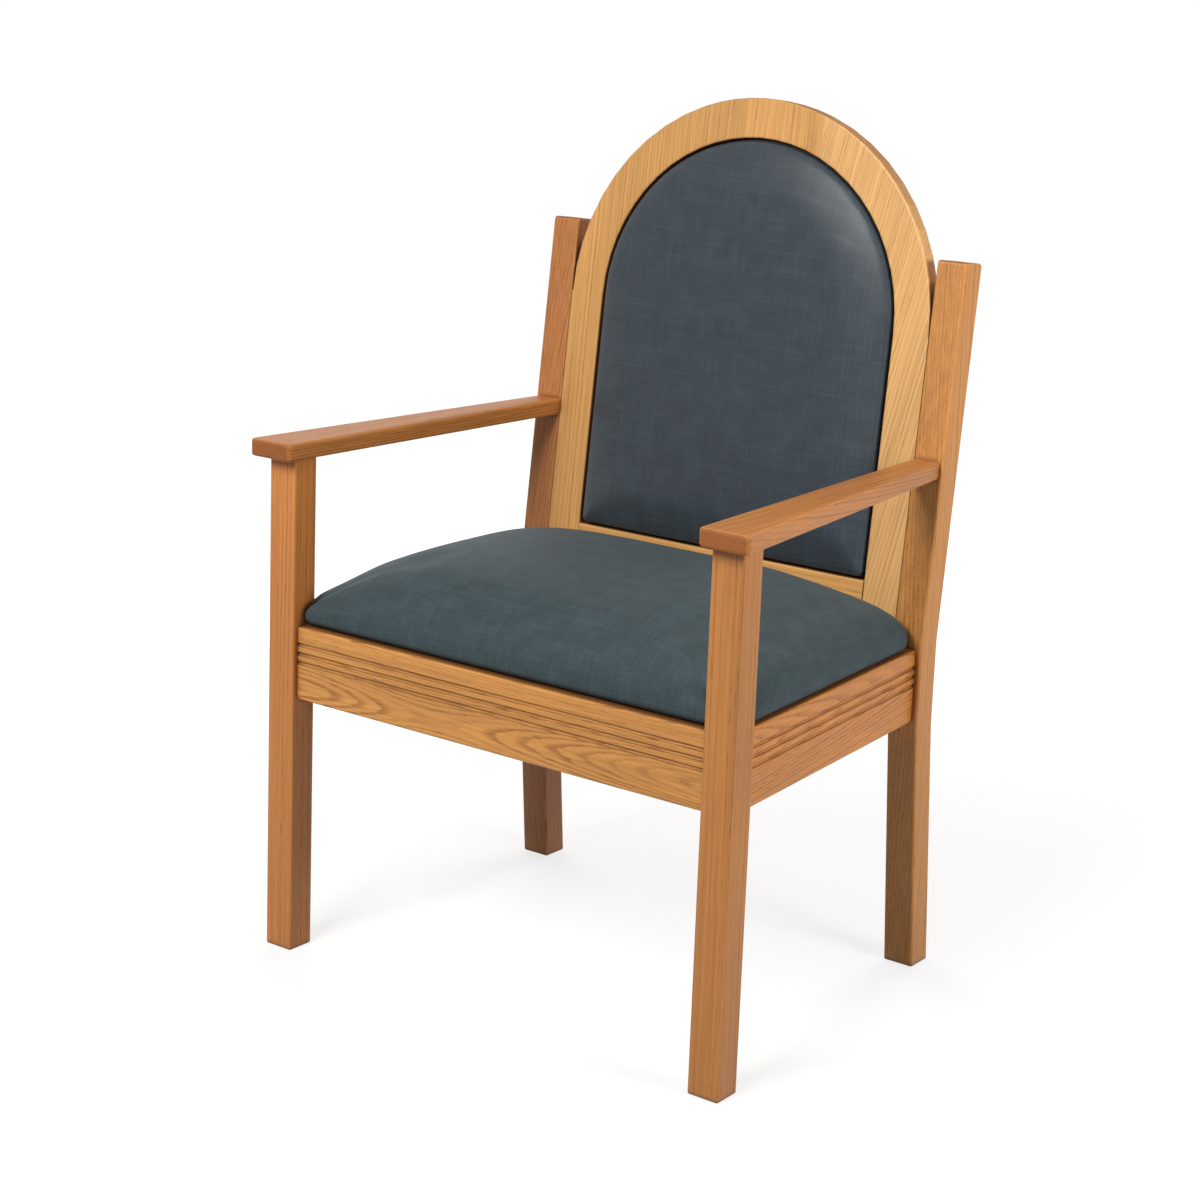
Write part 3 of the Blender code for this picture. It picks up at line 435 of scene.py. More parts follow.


GRAIN_LEAN = radians(11)     # lean of the grain in the arch's right-hand boards
LEANING = tuple(Vector(UP_RAKE) * cos(GRAIN_LEAN) + Vector(X_AXIS) * sin(GRAIN_LEAN))
ACROSS_LEANING = tuple(Vector(X_AXIS) * cos(GRAIN_LEAN) - Vector(UP_RAKE) * sin(GRAIN_LEAN))
ARCH_TONE = (1.22, 1.50, 1.9)
# paler tone of the arch's right-hand boards: paler wood, and partly painted light where that side is lit more
PALE_TONE = (1.35, 1.82, 2.7)
ARM_TONE = (0.88, 0.82, 0.85)
BOARDS = {
    "front_leg_left": Board(Z_AXIS, X_AXIS, (0.075, 0.060, 0.31), 0.010, 0.40, (1.10, 1.00, 1.05)),
    "front_leg_right": Board(Z_AXIS, X_AXIS, (-0.060, 0.080, 1.72), 0.010, 0.40, (0.93, 0.90, 0.93)),
    "rear_post_left": Board(Z_AXIS, X_AXIS, (0.066, -0.070, 2.41), 0.012, 0.45, (0.86, 0.80, 0.95)),
    "rear_post_right": Board(Z_AXIS, X_AXIS, (0.090, 0.050, 3.37), 0.012, 0.40, (1.08, 1.12, 1.20)),
    # the rails that are seen reach further, to paint the shade along the seat's foot
    "front_rail": Board(X_AXIS, Z_AXIS, (-0.026, -0.036, 4.15), 0.050, 0.90, (1.22, 1.34, 1.40),
                        0.2, rings=0.42, pores=0.75, corner=0.018),
    "rear_rail": Board(X_AXIS, Z_AXIS, (0.020, -0.050, 5.52), 0.034, 0.8),
    "side_rail_left": Board(Y_AXIS, Z_AXIS, (-0.020, 0.046, 6.91), 0.034, 0.7),
    # longer reach: painted shade along the seat's foot
    "side_rail_right": Board(Y_AXIS, Z_AXIS, (0.030, 0.050, 7.23), 0.034, 0.60, (1.05, 0.95, 0.72),
                             0.4, corner=0.018),
    # the arms' strong wear also paints the highlights along their edges
    "arm_left": Board(Y_AXIS, X_AXIS, (0.030, -0.060, 8.36), 0.016, 0.5, ARM_TONE, 1.8),
    "arm_right": Board(Y_AXIS, X_AXIS, (-0.034, -0.056, 9.74), 0.016, 0.5, ARM_TONE, 1.8),
    "back_stile_left": Board(UP_RAKE, X_AXIS, (-0.090, 0.110, 10.2), 0.012, 0.36, ARCH_TONE, 0.2, pores=0.32),
    "back_stile_right": Board(LEANING, ACROSS_LEANING, (0.110, 0.080, 11.4), 0.020, 0.36, PALE_TONE, 0.2,
                              pores=0.40),
    "arch_crown": Board(UP_RAKE, X_AXIS, (0.070, 0.120, 14.8), 0.014, 0.36, ARCH_TONE, 0.2, pores=0.32),
    "back_bottom_rail": Board(X_AXIS, UP_RAKE, (0.060, 0.080, 15.1), 0.014, 0.4, ARCH_TONE, 0.2, pores=0.32),
    "outside_back_panel": Board(UP_RAKE, X_AXIS, (0.020, 0.045, 16.6), 0.034, 0.7, (1.06, 1.10, 1.15)),
}
# the grain of each stile runs on into the shoulder above it
BOARDS.update({f"arch_shoulder_{side}": BOARDS[f"back_stile_{side}"]._replace(beside=f"back_stile_{side}")
               for side in SIDES})
# dark brown of corners and grooves: painted shade and stain
SHADE_AND_STAIN_COLOUR = (0.085, 0.030, 0.012)
WORN_AND_HIGHLIGHT_TONE = (1.25, 1.35, 1.5)
PALE_EDGE_REACH = 0.0028          # how far the paler edge, partly wear and partly painted highlight, reaches in from an edge


def toned(colour, tone):
    """A colour times a tone, kept within a real surface's range."""
    return tuple(min(0.9, c * t) for c, t in zip(colour, tone))


def heart_of(node, board):
    """The heart of a board's log in the board's own axes."""
    low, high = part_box(board.beside or node)
    middle = (low + high) / 2
    along, across = Vector(board.along), Vector(board.across)
    aside, deep, start = board.heart
    return (middle.dot(across) + aside, middle.dot(along.cross(across)) + deep, start)


def oak(node):
    """Lacquered oak for one board."""
    board, finish = BOARDS[node], bpy.context.scene.chair_oak
    material, net, shader = new_material(f"oak_{node}")
    grain = net.group(wood_grain(), Along=board.along, Across=board.across, Heart=heart_of(node, board),
                      Ring_Width=finish.ring * board.rings, Wander=board.wander,
                      Pale=toned(finish.pale, board.tone), Dark=toned(finish.dark, board.tone),
                      Pore=finish.pore, Figure=board.figure, Pore_Share=board.pores)
    # painted shade and stain in corners, grooves and joints
    stain = net.times(net.group(corner_stain(), Reach=board.corner)["Mask"], finish.stain)
    # paler eased edges: wear, and painted highlight
    wear = net.times(net.group(edge_wear(), Reach=PALE_EDGE_REACH)["Mask"], min(1.0, finish.wear * board.wear))
    colour = net.mix(stain, grain["Color"], SHADE_AND_STAIN_COLOUR)
    colour = net.mix(wear, colour, toned(finish.pale, WORN_AND_HIGHLIGHT_TONE))
    surface(net, shader, colour, grain["Roughness"], grain["Height"], depth=0.00025, strength=0.6,
            Coat_Weight=0.05, Coat_Roughness=0.25, Specular_IOR_Level=0.38)
    return material


BARE_PALE, BARE_DARK = (0.55, 0.37, 0.19), (0.40, 0.25, 0.12)
PLY_PALE, PLY_DARK = (0.66, 0.47, 0.27), (0.46, 0.29, 0.14)


def bare_wood(node, along, across):
    """Planed, unfinished wood of a hidden piece."""
    material, net, shader = new_material(f"bare_{node}")
    board = Board(along, across, (0.05, 0.06, len(node) * 0.37))
    grain = net.group(wood_grain(), Along=along, Across=across, Heart=heart_of(node, board), Ring_Width=0.003,
                      Wander=0.01, Pale=BARE_PALE, Dark=BARE_DARK, Pore=toned(BARE_DARK, (0.6, 0.6, 0.6)),
                      Figure=0.5, Pore_Share=0.25)
    # painted shade and stain in the corners of the hidden pieces
    stain = net.group(corner_stain(), Reach=0.008)["Mask"]
    surface(net, shader, net.mix(stain, grain["Color"], toned(BARE_DARK, (0.35, 0.32, 0.3))),
            net.plus(grain["Roughness"], 0.28), grain["Height"], depth=0.0002, strength=0.5)
    return material


def plywood(name, layer_way, layer):
    """Birch plywood, with its plies across one direction."""
    material, net, shader = new_material(name)
    spot = net.spot()
    ply = net.math("FLOOR", net.math("DIVIDE", net.vector("DOT_PRODUCT", spot, layer_way), layer))
    fibre = net.noise(spot, (400.0, 30.0, 400.0))
    tint = net.plus(net.fit(net.chance(ply), 0.0, 1.0, 0.0, 0.55), net.fit(fibre, 0.3, 0.7, 0.0, 0.4))
    surface(net, shader, net.mix(tint, PLY_PALE, PLY_DARK), net.fit(fibre, 0.3, 0.7, 0.6, 0.75),
            fibre, depth=0.0002, strength=0.4)
    return material


class Cover(NamedTuple):
    """How the cloth lies on a cushion, and how it has worn."""
    rough: float             # between the yarns
    smooth: float            # on the yarns
    gloss: float
    relief: float
    # tone of the cloth on this cushion; the seat's is lighter partly as painted light
    tone: tuple


COVERS = {
    "seat_cushion": Cover(0.80, 0.58, 0.12, 0.45, (1.30, 1.33, 1.28)),
    "back_pad": Cover(0.42, 0.33, 0.23, 0.12, (1.12, 1.02, 1.05)),
}


def slate_cloth(name):
    """Plain woven upholstery cloth, on the place that each cushion carries."""
    cover, finish = COVERS[name], bpy.context.scene.chair_cloth
    base, bright = toned(finish.colour, cover.tone), toned(finish.light, cover.tone)
    material, net, shader = new_material(f"slate_cloth_{name}")
    place = net.node("ShaderNodeAttribute", attribute_name="cloth_place").outputs["Vector"]
    weave = net.group(plain_weave(), Place=place, Thread=finish.thread)
    slub = net.noise(place, (26.0, 420.0, 1.0))
    slub_up = net.noise(place, (420.0, 22.0, 1.0))
    cloud = net.noise(place, (30.0, 30.0, 30.0), 3.0)
    # the yarns are painted lighter towards their crowns
    light = net.plus(net.times(weave["Tone"], net.fit(weave["Height"], 0.2, 0.95, 0.1, 0.75)),
                     net.fit(net.plus(slub, slub_up), 0.75, 1.3, -0.07, 0.22),
                     net.fit(cloud, 0.3, 0.7, -0.16, 0.16))
    tint = net.noise(place, (55.0, 55.0, 55.0))
    colour = net.mix(light, base, bright)
    colour = net.mix(net.fit(tint, 0.45, 0.75, 0.0, 0.35), colour, toned(base, (0.92, 1.12, 1.02)))
    # painted shade in the gaps between the yarns
    gap = net.fit(weave["Height"], 0.0, 0.45, 0.55, 0.0)
    # painted shade in the seams and along the cushions' rolled edges
    seam_shade = net.times(net.group(corner_stain(), Reach=0.012)["Mask"], 0.75)
    colour = net.mix(gap, colour, toned(base, (0.4, 0.4, 0.42)))
    surface(net, shader, net.mix(seam_shade, colour, toned(base, (0.22, 0.2, 0.2))),
            net.fit(weave["Height"], 0.0, 1.0, cover.rough, cover.smooth), weave["Height"],
            depth=0.0003, strength=cover.relief,
            Sheen_Weight=0.06, Sheen_Roughness=0.55, Specular_IOR_Level=cover.gloss)
    return material


def dust_cloth():
    """Black non-woven cloth, with the dimples of its bonding."""
    finish = bpy.context.scene.chair_cloth
    material, net, shader = new_material("dust_cloth")
    spot = net.spot()
    cells = net.node("ShaderNodeTexVoronoi")
    net.feed(cells.inputs["Vector"], spot)
    cells.inputs["Scale"].default_value = 620.0
    fluff = net.noise(spot, (900.0, 900.0, 900.0), 3.0)
    tint = net.times(net.fit(cells.outputs["Distance"], 0.1, 0.6), fluff)
    surface(net, shader, net.mix(tint, finish.dust, toned(finish.dust, (3.4, 3.4, 3.4))),
            net.fit(fluff, 0.3, 0.7, 0.8, 0.98), cells.outputs["Distance"], depth=0.0003, strength=0.6)
    return material


def zinc():
    """Zinc-plated steel, dulled and faintly scratched, with painted shade in its recesses."""
    material = bpy.data.materials.get("zinc_plate")
    if material:
        return material
    material, net, shader = new_material("zinc_plate")
    spot = net.spot()
    bloom = net.noise(spot, (420.0, 420.0, 420.0), 3.0)
    scratch = net.noise(spot, (3000.0, 260.0, 3000.0))
    # painted shade in the recesses
    recess_shade = net.group(corner_stain(), Reach=0.0015)["Mask"]
    colour = net.mix(net.fit(bloom, 0.3, 0.7), (0.60, 0.60, 0.61), (0.50, 0.48, 0.43))
    rough = net.plus(net.fit(bloom, 0.2, 0.8, 0.26, 0.44), net.fit(scratch, 0.4, 0.7, 0.0, 0.12))
    surface(net, shader, net.mix(recess_shade, colour, (0.10, 0.09, 0.08)), rough, scratch,
            depth=0.00005, strength=0.4, Metallic=1.0)
    return material


# Meshes

def dress(node, material):
    """Give a CAD node its material."""
    NODES[node].data.materials.clear()
    NODES[node].data.materials.append(material)


def dress_in_oak(*nodes):
    """Give CAD nodes their own cuts of oak."""
    for node in nodes:
        dress(node, oak(node))


def rows_of(items, key):
    """Vectors of a mesh's points as rows."""
    rows = np.empty(len(items) * 3, np.float32)
    items.foreach_get(key, rows)
    return rows.reshape(-1, 3).astype(float)


def coords(mesh):
    """The points of a mesh as rows."""
    return rows_of(mesh.vertices, "co")


def normals(mesh):
    """The normals at the points of a mesh as rows."""
    return rows_of(mesh.vertex_normals, "vector")


def set_coords(mesh, rows):
    """Move the points of a mesh."""
    mesh.vertices.foreach_set("co", rows.astype(np.float32).ravel())
    mesh.update()


def add_object(name, data):
    """An object in the scene."""
    thing = bpy.data.objects.new(name, data)
    bpy.context.scene.collection.objects.link(thing)
    return thing


def add_solid(name, solid):
    """An object in the scene from a bmesh."""
    mesh = bpy.data.meshes.new(name)
    solid.to_mesh(mesh)
    solid.free()
    return add_object(name, mesh)


def new_piece(name, solid, material, sharp=None):
    """A new piece of the chair from a bmesh, riding on the frame, with edges sharp beyond an angle."""
    bmesh.ops.recalc_face_normals(solid, faces=solid.faces)
    thing = add_solid(name, solid)
    thing.data.materials.append(material)
    thing.data.shade_smooth()
    if sharp:
        thing.data.set_sharp_from_angle(angle=radians(sharp))
    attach(thing, "root")
    return thing


def skin(solid, rings):
    """Faces over a stack of rings; a ring of one point is a tip."""
    rows = [[solid.verts.new(point) for point in ring] for ring in rings]
    for one, two in zip(rows, rows[1:]):
        for i in range(max(len(one), len(two))):
            corners = [one[i - 1], one[i]] if len(one) > 1 else [one[0]]
            corners += [two[i], two[i - 1]] if len(two) > 1 else [two[0]]
            solid.faces.new(corners)
    return rows


def fillet(corners, steps=4):
    """Outline through corners (a, b, radius), each rounded by an arc of its radius."""
    outline = []
    for i, (a, b, radius) in enumerate(corners):
        corner = Vector((a, b))
        if radius == 0:
            outline.append((a, b))
            continue
        before = (Vector(corners[i - 1][:2]) - corner).normalized()
        after = (Vector(corners[(i + 1) % len(corners)][:2]) - corner).normalized()
        half = before.angle(after) / 2
        centre = corner + (before + after).normalized() * (radius / sin(half))
        start = corner + before * (radius / tan(half)) - centre
        end = corner + after * (radius / tan(half)) - centre
        first = atan2(start.y, start.x)
        turn = (atan2(end.y, end.x) - first + pi) % (2 * pi) - pi
        for k in range(steps + 1):
            angle = first + turn * k / steps
            outline.append((centre.x + radius * cos(angle), centre.y + radius * sin(angle)))
    return outline


def mirrored(right):
    """A closed outline from its right half."""
    return right + [(-a, *rest) for a, *rest in reversed(right)]


def spaced(outline, step):
    """The outline with extra points, so that no stretch is longer than step."""
    points = []
    for (a, b), (c, d) in zip(outline, outline[1:] + outline[:1]):
        parts = ceil(Vector((c - a, d - b)).length / step)
        points += [(a + (c - a) * k / parts, b + (d - b) * k / parts) for k in range(parts)]
    return points


def settle(thing):
    """Apply the modifiers of a piece."""
    old = thing.data
    graph = bpy.context.evaluated_depsgraph_get()
    thing.data = bpy.data.meshes.new_from_object(thing.evaluated_get(graph))
    thing.modifiers.clear()
    bpy.data.meshes.remove(old)


def room_round(points, nodes):
    """Distance of each point from the nearest face of some CAD nodes."""
    corners, faces = [], []
    for node in nodes:
        mesh = NODES[node].data
        faces += [[i + len(corners) for i in face.vertices] for face in mesh.polygons]
        corners += [vert.co.copy() for vert in mesh.vertices]
    tree = BVHTree.FromPolygons(corners, faces)
    return np.array([tree.find_nearest(Vector(point))[3] for point in points])


def spread(mesh, values, turns):
    """Values at the points of a mesh, evened out between neighbours."""
    ends = np.empty(len(mesh.edges) * 2, np.int32)
    mesh.edges.foreach_get("vertices", ends)
    one, two = ends[::2], ends[1::2]
    count = np.bincount(ends, minlength=len(values))
    for _ in range(turns):
        total = np.bincount(one, values[two], len(values)) + np.bincount(two, values[one], len(values))
        values = (values + total / count) / 2
    return values


TIGHT_CLOTH = {"quality": 6, "mass": 0.3, "tension_stiffness": 20.0, "compression_stiffness": 20.0,
               "shear_stiffness": 10.0, "bending_stiffness": 1.0, "use_pressure": True,
               "uniform_pressure_force": 4.0}


def swell(thing, held, reach, clear_of):
    """Blow the padding up by a cloth simulation, as far as reach and its neighbours allow."""
    scene = bpy.context.scene
    padding = scene.chair_padding
    start = coords(thing.data)
    group = thing.vertex_groups.new(name="held")
    group.add([int(i) for i in np.flatnonzero(held(start))], 1.0, "REPLACE")
    cloth = thing.modifiers.new("swell", "CLOTH")
    cloth.settings.vertex_group_mass = group.name
    for key, value in TIGHT_CLOTH.items():
        setattr(cloth.settings, key, value)
    cloth.settings.effector_weights.gravity = 0.0
    cloth.collision_settings.use_collision = False
    cloth.point_cache.frame_start = 1
    cloth.point_cache.frame_end = padding.frames
    for number in range(1, padding.frames + 1):
        scene.frame_set(number)
    graph = bpy.context.evaluated_depsgraph_get()
    facing = normals(thing.data)
    rise = ((coords(thing.evaluated_get(graph).data) - start) * facing).sum(1)
    thing.modifiers.clear()
    thing.vertex_groups.clear()
    scene.frame_set(1)
    rise = spread(thing.data, np.clip(rise, 0.0, reach), padding.tautness)
    room = np.maximum(room_round(start, clear_of) - padding.clearance, 0.0)
    set_coords(thing.data, start + facing * np.minimum(rise, room)[:, None])


def hollow(thing, outline, low, high, place):
    """Cut the pocket for a board into the underside of a cushion."""
    solid = bmesh.new()
    rows = skin(solid, [[place(a, b, c) for a, b in outline] for c in (low, high)])
    for row in rows:
        solid.faces.new(row)
    bmesh.ops.recalc_face_normals(solid, faces=solid.faces)
    tool = add_solid("pocket", solid)
    mesh = tool.data
    cut = thing.modifiers.new("pocket", "BOOLEAN")
    cut.operation = "DIFFERENCE"
    cut.solver = "EXACT"
    cut.object = tool
    bpy.context.view_layer.update()
    settle(thing)
    bpy.data.objects.remove(tool)
    bpy.data.meshes.remove(mesh)
    thing.data.shade_smooth()
    thing.data.set_sharp_from_angle(angle=radians(50))


def cushion(name, rings, held, reach, clear_of):
    """A crowned cushion from its rings: remeshed, swollen and subdivided."""
    padding = bpy.context.scene.chair_padding
    solid = bmesh.new()
    solid.faces.new(skin(solid, rings)[-1])
    thing = new_piece(name, solid, slate_cloth(name))
    remesh = thing.modifiers.new("remesh", "REMESH")
    remesh.mode = "VOXEL"
    remesh.voxel_size = padding.voxel
    settle(thing)
    swell(thing, held, reach, clear_of)
    fine = thing.modifiers.new("fine", "SUBSURF")
    fine.levels = fine.render_levels = 1
    settle(thing)
    thing.data.shade_smooth()
    return thing


def lay_cloth(thing, place):
    """Store where each point lies in the cloth before it was cut."""
    layer = thing.data.attributes.new("cloth_place", "FLOAT_VECTOR", "POINT")
    layer.data.foreach_set("vector", place.astype(np.float32).ravel())


# Upholstery

SEAT_BULGE = 0.0135          # height of the seat's widest line above its foot
SEAT_CROWN_BACK = 0.010      # how far the crown lies behind the middle of the seat
SEAT_FULLNESS = 3.8          # power of the crown's curve; a higher one is fuller
SEAT_DIP = 0.36              # share of the crown that is lost beside the front legs
SEAT_DIP_REACH = 0.120       # how far from the legs it is lost
SEAT_DIP_FLOOR = 0.0146      # height above the foot, below which the seat doesn't dip
SEAT_DRAW = np.array((0.004, 0.011))                # how far the sides and the front draw in at the foot
SEAT_BLEND = 0.30            # share of the way in, over which the plan becomes a plain oval
SEAT_CLEAR = 0.0015          # gap between the seat and the wood
SEAT_CORNERS = (0.003, 0.003, 0.020, 0.014)         # corner radii from the front to the rear
BOARD_INSET = 0.012          # how far the seat's board lies inside its cover
RING_STEP = 0.008            # spacing of points round a cushion
RING_COUNT = 26              # rings from the crown to the widest line
SIDE_RINGS = 5               # rings from there to the foot
PAD_CROWN = 0.014            # depth from the pad's crown to its edge
PAD_PROUD = 0.004            # how far the pad stands out before its plain solid
PAD_ROLL = 0.042             # width of the pad's rolled edge
PAD_DOME = 0.15              # share of the pad's crown that is spread over the whole pad
PAD_BOARD_INSET = 0.0041     # how far the pad's board lies inside its cover
PAD_CLEAR = 0.0008           # gap between the pad and its frame
POCKET_GAP = 0.0008          # gap between a board and its pocket
POCKET_OVER = 0.01           # how far the cutter of a pocket stands out of the cushion
SWELL_SHARE = 0.85           # share of the swelling by which a cushion starts lower
SEAT_HELD, PAD_HELD = 0.004, 0.006                  # edge of a cushion that stays in place while it swells
FOLD_REACH = 0.060           # how far a corner fold runs from the leg
FOLD_FADE = 0.012            # height above the foot, over which the folds set in
FOLD_COUNT = 13.0
SEAT_NEIGHBOURS = ("front_leg_left", "front_leg_right", "rear_post_left", "rear_post_right",
                   "back_bottom_rail", "back_stile_left", "back_stile_right")
ARCH_BOARDS = ("back_stile_left", "back_stile_right", "arch_shoulder_left", "arch_shoulder_right",
               "arch_crown", "back_bottom_rail", "outside_back_panel")


def seat_sizes():
    """The lines that bound the seat, read from the frame."""
    leg_low, leg_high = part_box("front_leg_right")
    post_low, post_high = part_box("rear_post_right")
    low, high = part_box("seat_cover")
    taper = (leg_high.x - post_high.x) / (post_low.y - leg_low.y)
    notch, back = leg_high.y + SEAT_CLEAR, post_low.y - SEAT_CLEAR
    inset = low.y - leg_low.y
    return {"front": low.y, "notch": notch, "back": back, "between": leg_low.x - SEAT_CLEAR,
            "wide": leg_high.x - taper * (notch - leg_low.y) - inset,
            "narrow": leg_high.x - taper * (back - leg_low.y) - inset,
            "foot": low.z, "crown": high.z, "middle": (low.y + post_low.y) / 2}


def seat_rings(lower):
    """Rings of the seat from its crown to its foot, drawn in and lowered by a little."""
    size = seat_sizes()
    corners = zip(("between", "between", "wide", "narrow"), ("front", "notch", "notch", "back"), SEAT_CORNERS)
    outline = spaced(fillet(mirrored([(size[a], size[b], radius) for a, b, radius in corners])), RING_STEP)
    plan = np.array(outline) - (0.0, size["middle"])
    reach = (size["back"] - size["front"]) / 2 + BOARD_INSET / 2
    across = (size["wide"] + size["narrow"]) / 2 + BOARD_INSET / 2
    oval = plan / ((np.abs(plan / (across, reach)) ** 4).sum(1) ** 0.25)[:, None]
    bulge, crown = size["foot"] + SEAT_BULGE, size["crown"] - lower
    beside_leg = np.array((size["wide"], size["notch"] - size["middle"]))
    floor = size["foot"] + SEAT_DIP_FLOOR

    def placed(flat, height):
        """Points of a ring at a height, pulled down beside the front legs."""
        far = np.linalg.norm(np.abs(flat * (1, 0)) + flat * (0, 1) - beside_leg, axis=1)
        near = np.maximum(0, 1 - (far / SEAT_DIP_REACH) ** 2) ** 2
        z = height - SEAT_DIP * near * max(0, height - floor)
        return [(a, b + size["middle"], c) for (a, b), c in zip(flat, z)]

    inner = np.array((1.0, 1 - lower * 0.5 / reach))
    rings = [[(0.0, size["middle"] + SEAT_CROWN_BACK, crown)]]
    for k in range(1, RING_COUNT + 1):
        turn = pi / 2 * (1 - k / RING_COUNT)
        share = cos(turn) ** (2 / SEAT_FULLNESS)
        blend = min(1, (1 - share) / SEAT_BLEND)
        flat = (plan + (oval - plan) * blend) * share * inner + (0.0, SEAT_CROWN_BACK * (1 - share))
        rings.append(placed(flat, bulge + (crown - bulge) * sin(turn)))
    for k in range(1, SIDE_RINGS + 1):
        turn = pi / 2 * k / SIDE_RINGS
        flat = plan * (inner - SEAT_DRAW * (1 - cos(turn)) / reach)
        rings.append(placed(flat, bulge - SEAT_BULGE * sin(turn)))
    return rings, plan * (1 - (BOARD_INSET - POCKET_GAP) / reach) + (0.0, size["middle"])


class CHAIR_OT_seat(bpy.types.Operator):
    """Make the crowned seat cushion, notched round the front legs"""
    bl_idname = "chair.seat"
    bl_label = "Seat Cushion"

    def execute(self, context):
        padding, size = context.scene.chair_padding, seat_sizes()
        rings, pocket = seat_rings(padding.seat_swell * SWELL_SHARE)
        held = size["foot"] + SEAT_HELD
        thing = cushion("seat_cushion", rings, lambda points: points[:, 2] < held, padding.seat_swell,
                        SEAT_NEIGHBOURS)
        self.fold_corners(thing, size, padding.fold)
        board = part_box("seat_board")[1].z
        hollow(thing, pocket, size["foot"] - POCKET_OVER, board + POCKET_GAP, lambda a, b, c: (a, b, c))
        points, facing = coords(thing.data), normals(thing.data)
        drop = (size["crown"] - points[:, 2])[:, None] * facing * (1, 1, 0)
        lay_cloth(thing, points * (1, 1, 0) + drop)
        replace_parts(thing, "seat_cover", "seat_foam")
        return {"FINISHED"}

    @staticmethod
    def fold_corners(thing, size, depth):
        """Press the cloth's folds into the corners beside the front legs."""
        points, facing = coords(thing.data), normals(thing.data)
        for side in SIDES.values():
            away = points[:, :2] - (side * size["between"], size["notch"])
            far = np.linalg.norm(away, axis=1)
            turn = np.arctan2(away[:, 1], side * away[:, 0])
            fade = np.clip(1 - far / FOLD_REACH, 0, 1) ** 1.5
            fade *= np.clip((points[:, 2] - size["foot"]) / FOLD_FADE, 0, 1)
            press = depth * fade * (0.5 + 0.5 * np.cos(FOLD_COUNT * turn + 3 * np.sin(2.3 * turn)))
            points -= facing * press[:, None]
        set_coords(thing.data, points)


class CHAIR_OT_back_pad(bpy.types.Operator):
    """Make the padded insert of the arched back"""
    bl_idname = "chair.back_pad"
    bl_label = "Back Pad"

    def execute(self, context):
        padding = context.scene.chair_padding
        upright = np.array([TO_RAKED @ vert.co for vert in NODES["back_pad_cover"].data.vertices])
        low, high = upright.min(0), upright.max(0)
        radius, rise = high[0], high[2] - high[0]
        arc = [(radius * cos(t), rise + radius * sin(t)) for t in np.linspace(0, pi, 72)]
        outline = spaced([(-radius, low[2]), (radius, low[2])] + arc, RING_STEP)
        middle = np.array((0.0, (low[2] + high[2]) / 2))
        plan = np.array(outline) - middle
        lower = padding.pad_swell * SWELL_SHARE
        edge, crown, rear = low[1] + PAD_CROWN, low[1] + lower - PAD_PROUD, high[1]
        inner = 1 - PAD_CLEAR / radius

        def ring(share, depth):
            """The pad's outline drawn in, at a depth."""
            return [tuple(FROM_RAKED @ Vector((a, depth, b))) for a, b in plan * share + middle]

        rings = [[tuple(FROM_RAKED @ Vector((middle[0], crown, middle[1])))]]
        half = RING_COUNT // 2
        inward = [PAD_ROLL + (radius - PAD_ROLL) * (1 - k / half) for k in range(1, half)]
        inward += [PAD_ROLL * (1 - sin(pi / 2 * k / half)) for k in range(half + 1)]
        for way_in in inward:
            share = 1 - way_in / radius
            roll = (1 - max(0, 1 - way_in / PAD_ROLL) ** 2) ** 0.5
            full = roll * (1 - PAD_DOME) + PAD_DOME * (1 - share ** 2)
            rings.append(ring(share * inner, edge + (crown - edge) * full))
        rings += [ring(inner, edge + (rear - edge) * k / 3) for k in range(1, 4)]
        turned = np.array(TO_RAKED.to_3x3())
        thing = cushion("back_pad", rings, lambda points: (points @ turned.T)[:, 1] > rear - PAD_HELD,
                        padding.pad_swell, ARCH_BOARDS)
        board = np.array([TO_RAKED @ vert.co for vert in NODES["back_pad_board"].data.vertices])[:, 1].min()
        pocket = plan * (1 - (PAD_BOARD_INSET - POCKET_GAP) / radius) + middle
        hollow(thing, pocket, board - POCKET_GAP, rear + POCKET_OVER,
               lambda a, b, c: tuple(FROM_RAKED @ Vector((a, c, b))))
        points = coords(thing.data) @ turned.T
        lay_cloth(thing, np.stack([points[:, 0], points[:, 2], points[:, 1] * 0], axis=1))
        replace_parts(thing, "back_pad_cover", "back_pad_foam")
        return {"FINISHED"}


SHEET_RINGS = 16             # rings from the middle of the sheet to its edge
SHEET_STEP = 0.02            # spacing of points round the sheet
SHEET_GAP = 0.0003           # gap between the sheet and the wood
SHEET_SAG = 0.006
SHEET_TIGHT = 0.78           # share of the way out, beyond which the sheet doesn't sag
STAPLE_PITCH = 0.040
STAPLE_INSET = 0.007
STAPLE_CROWN = 0.0095
STAPLE_WIRE = 0.0006
STAPLE_LEG = 0.003
BLOCK_ROOM = 0.066           # stretch of edge at each corner that the corner blocks cover


def staple_rings(spot, way, under):
    """Rings along the wire of a staple, from one leg over its crown to the other."""
    half, wire = STAPLE_CROWN / 2, STAPLE_WIRE
    across = Vector((-way.y, way.x)) * wire
    rings = []
    for along, up in ((-half, STAPLE_LEG), (-half, 0), (-half + wire, -wire), (half - wire, -wire), (half, 0),
                      (half, STAPLE_LEG)):
        base = spot + way * along
        in_leg = abs(along) == half
        drop = way * wire * (1.0 if in_leg else 0.0) * (1 if along > 0 else -1)
        lift = 0.0 if in_leg else wire
        corners = ((-across - drop, -lift), (across - drop, -lift),
                   (across + drop, lift), (-across + drop, lift))
        rings.append([(base.x + c.x / 2, base.y + c.y / 2, under - wire / 2 + up + z / 2)
                      for c, z in corners])
    return rings


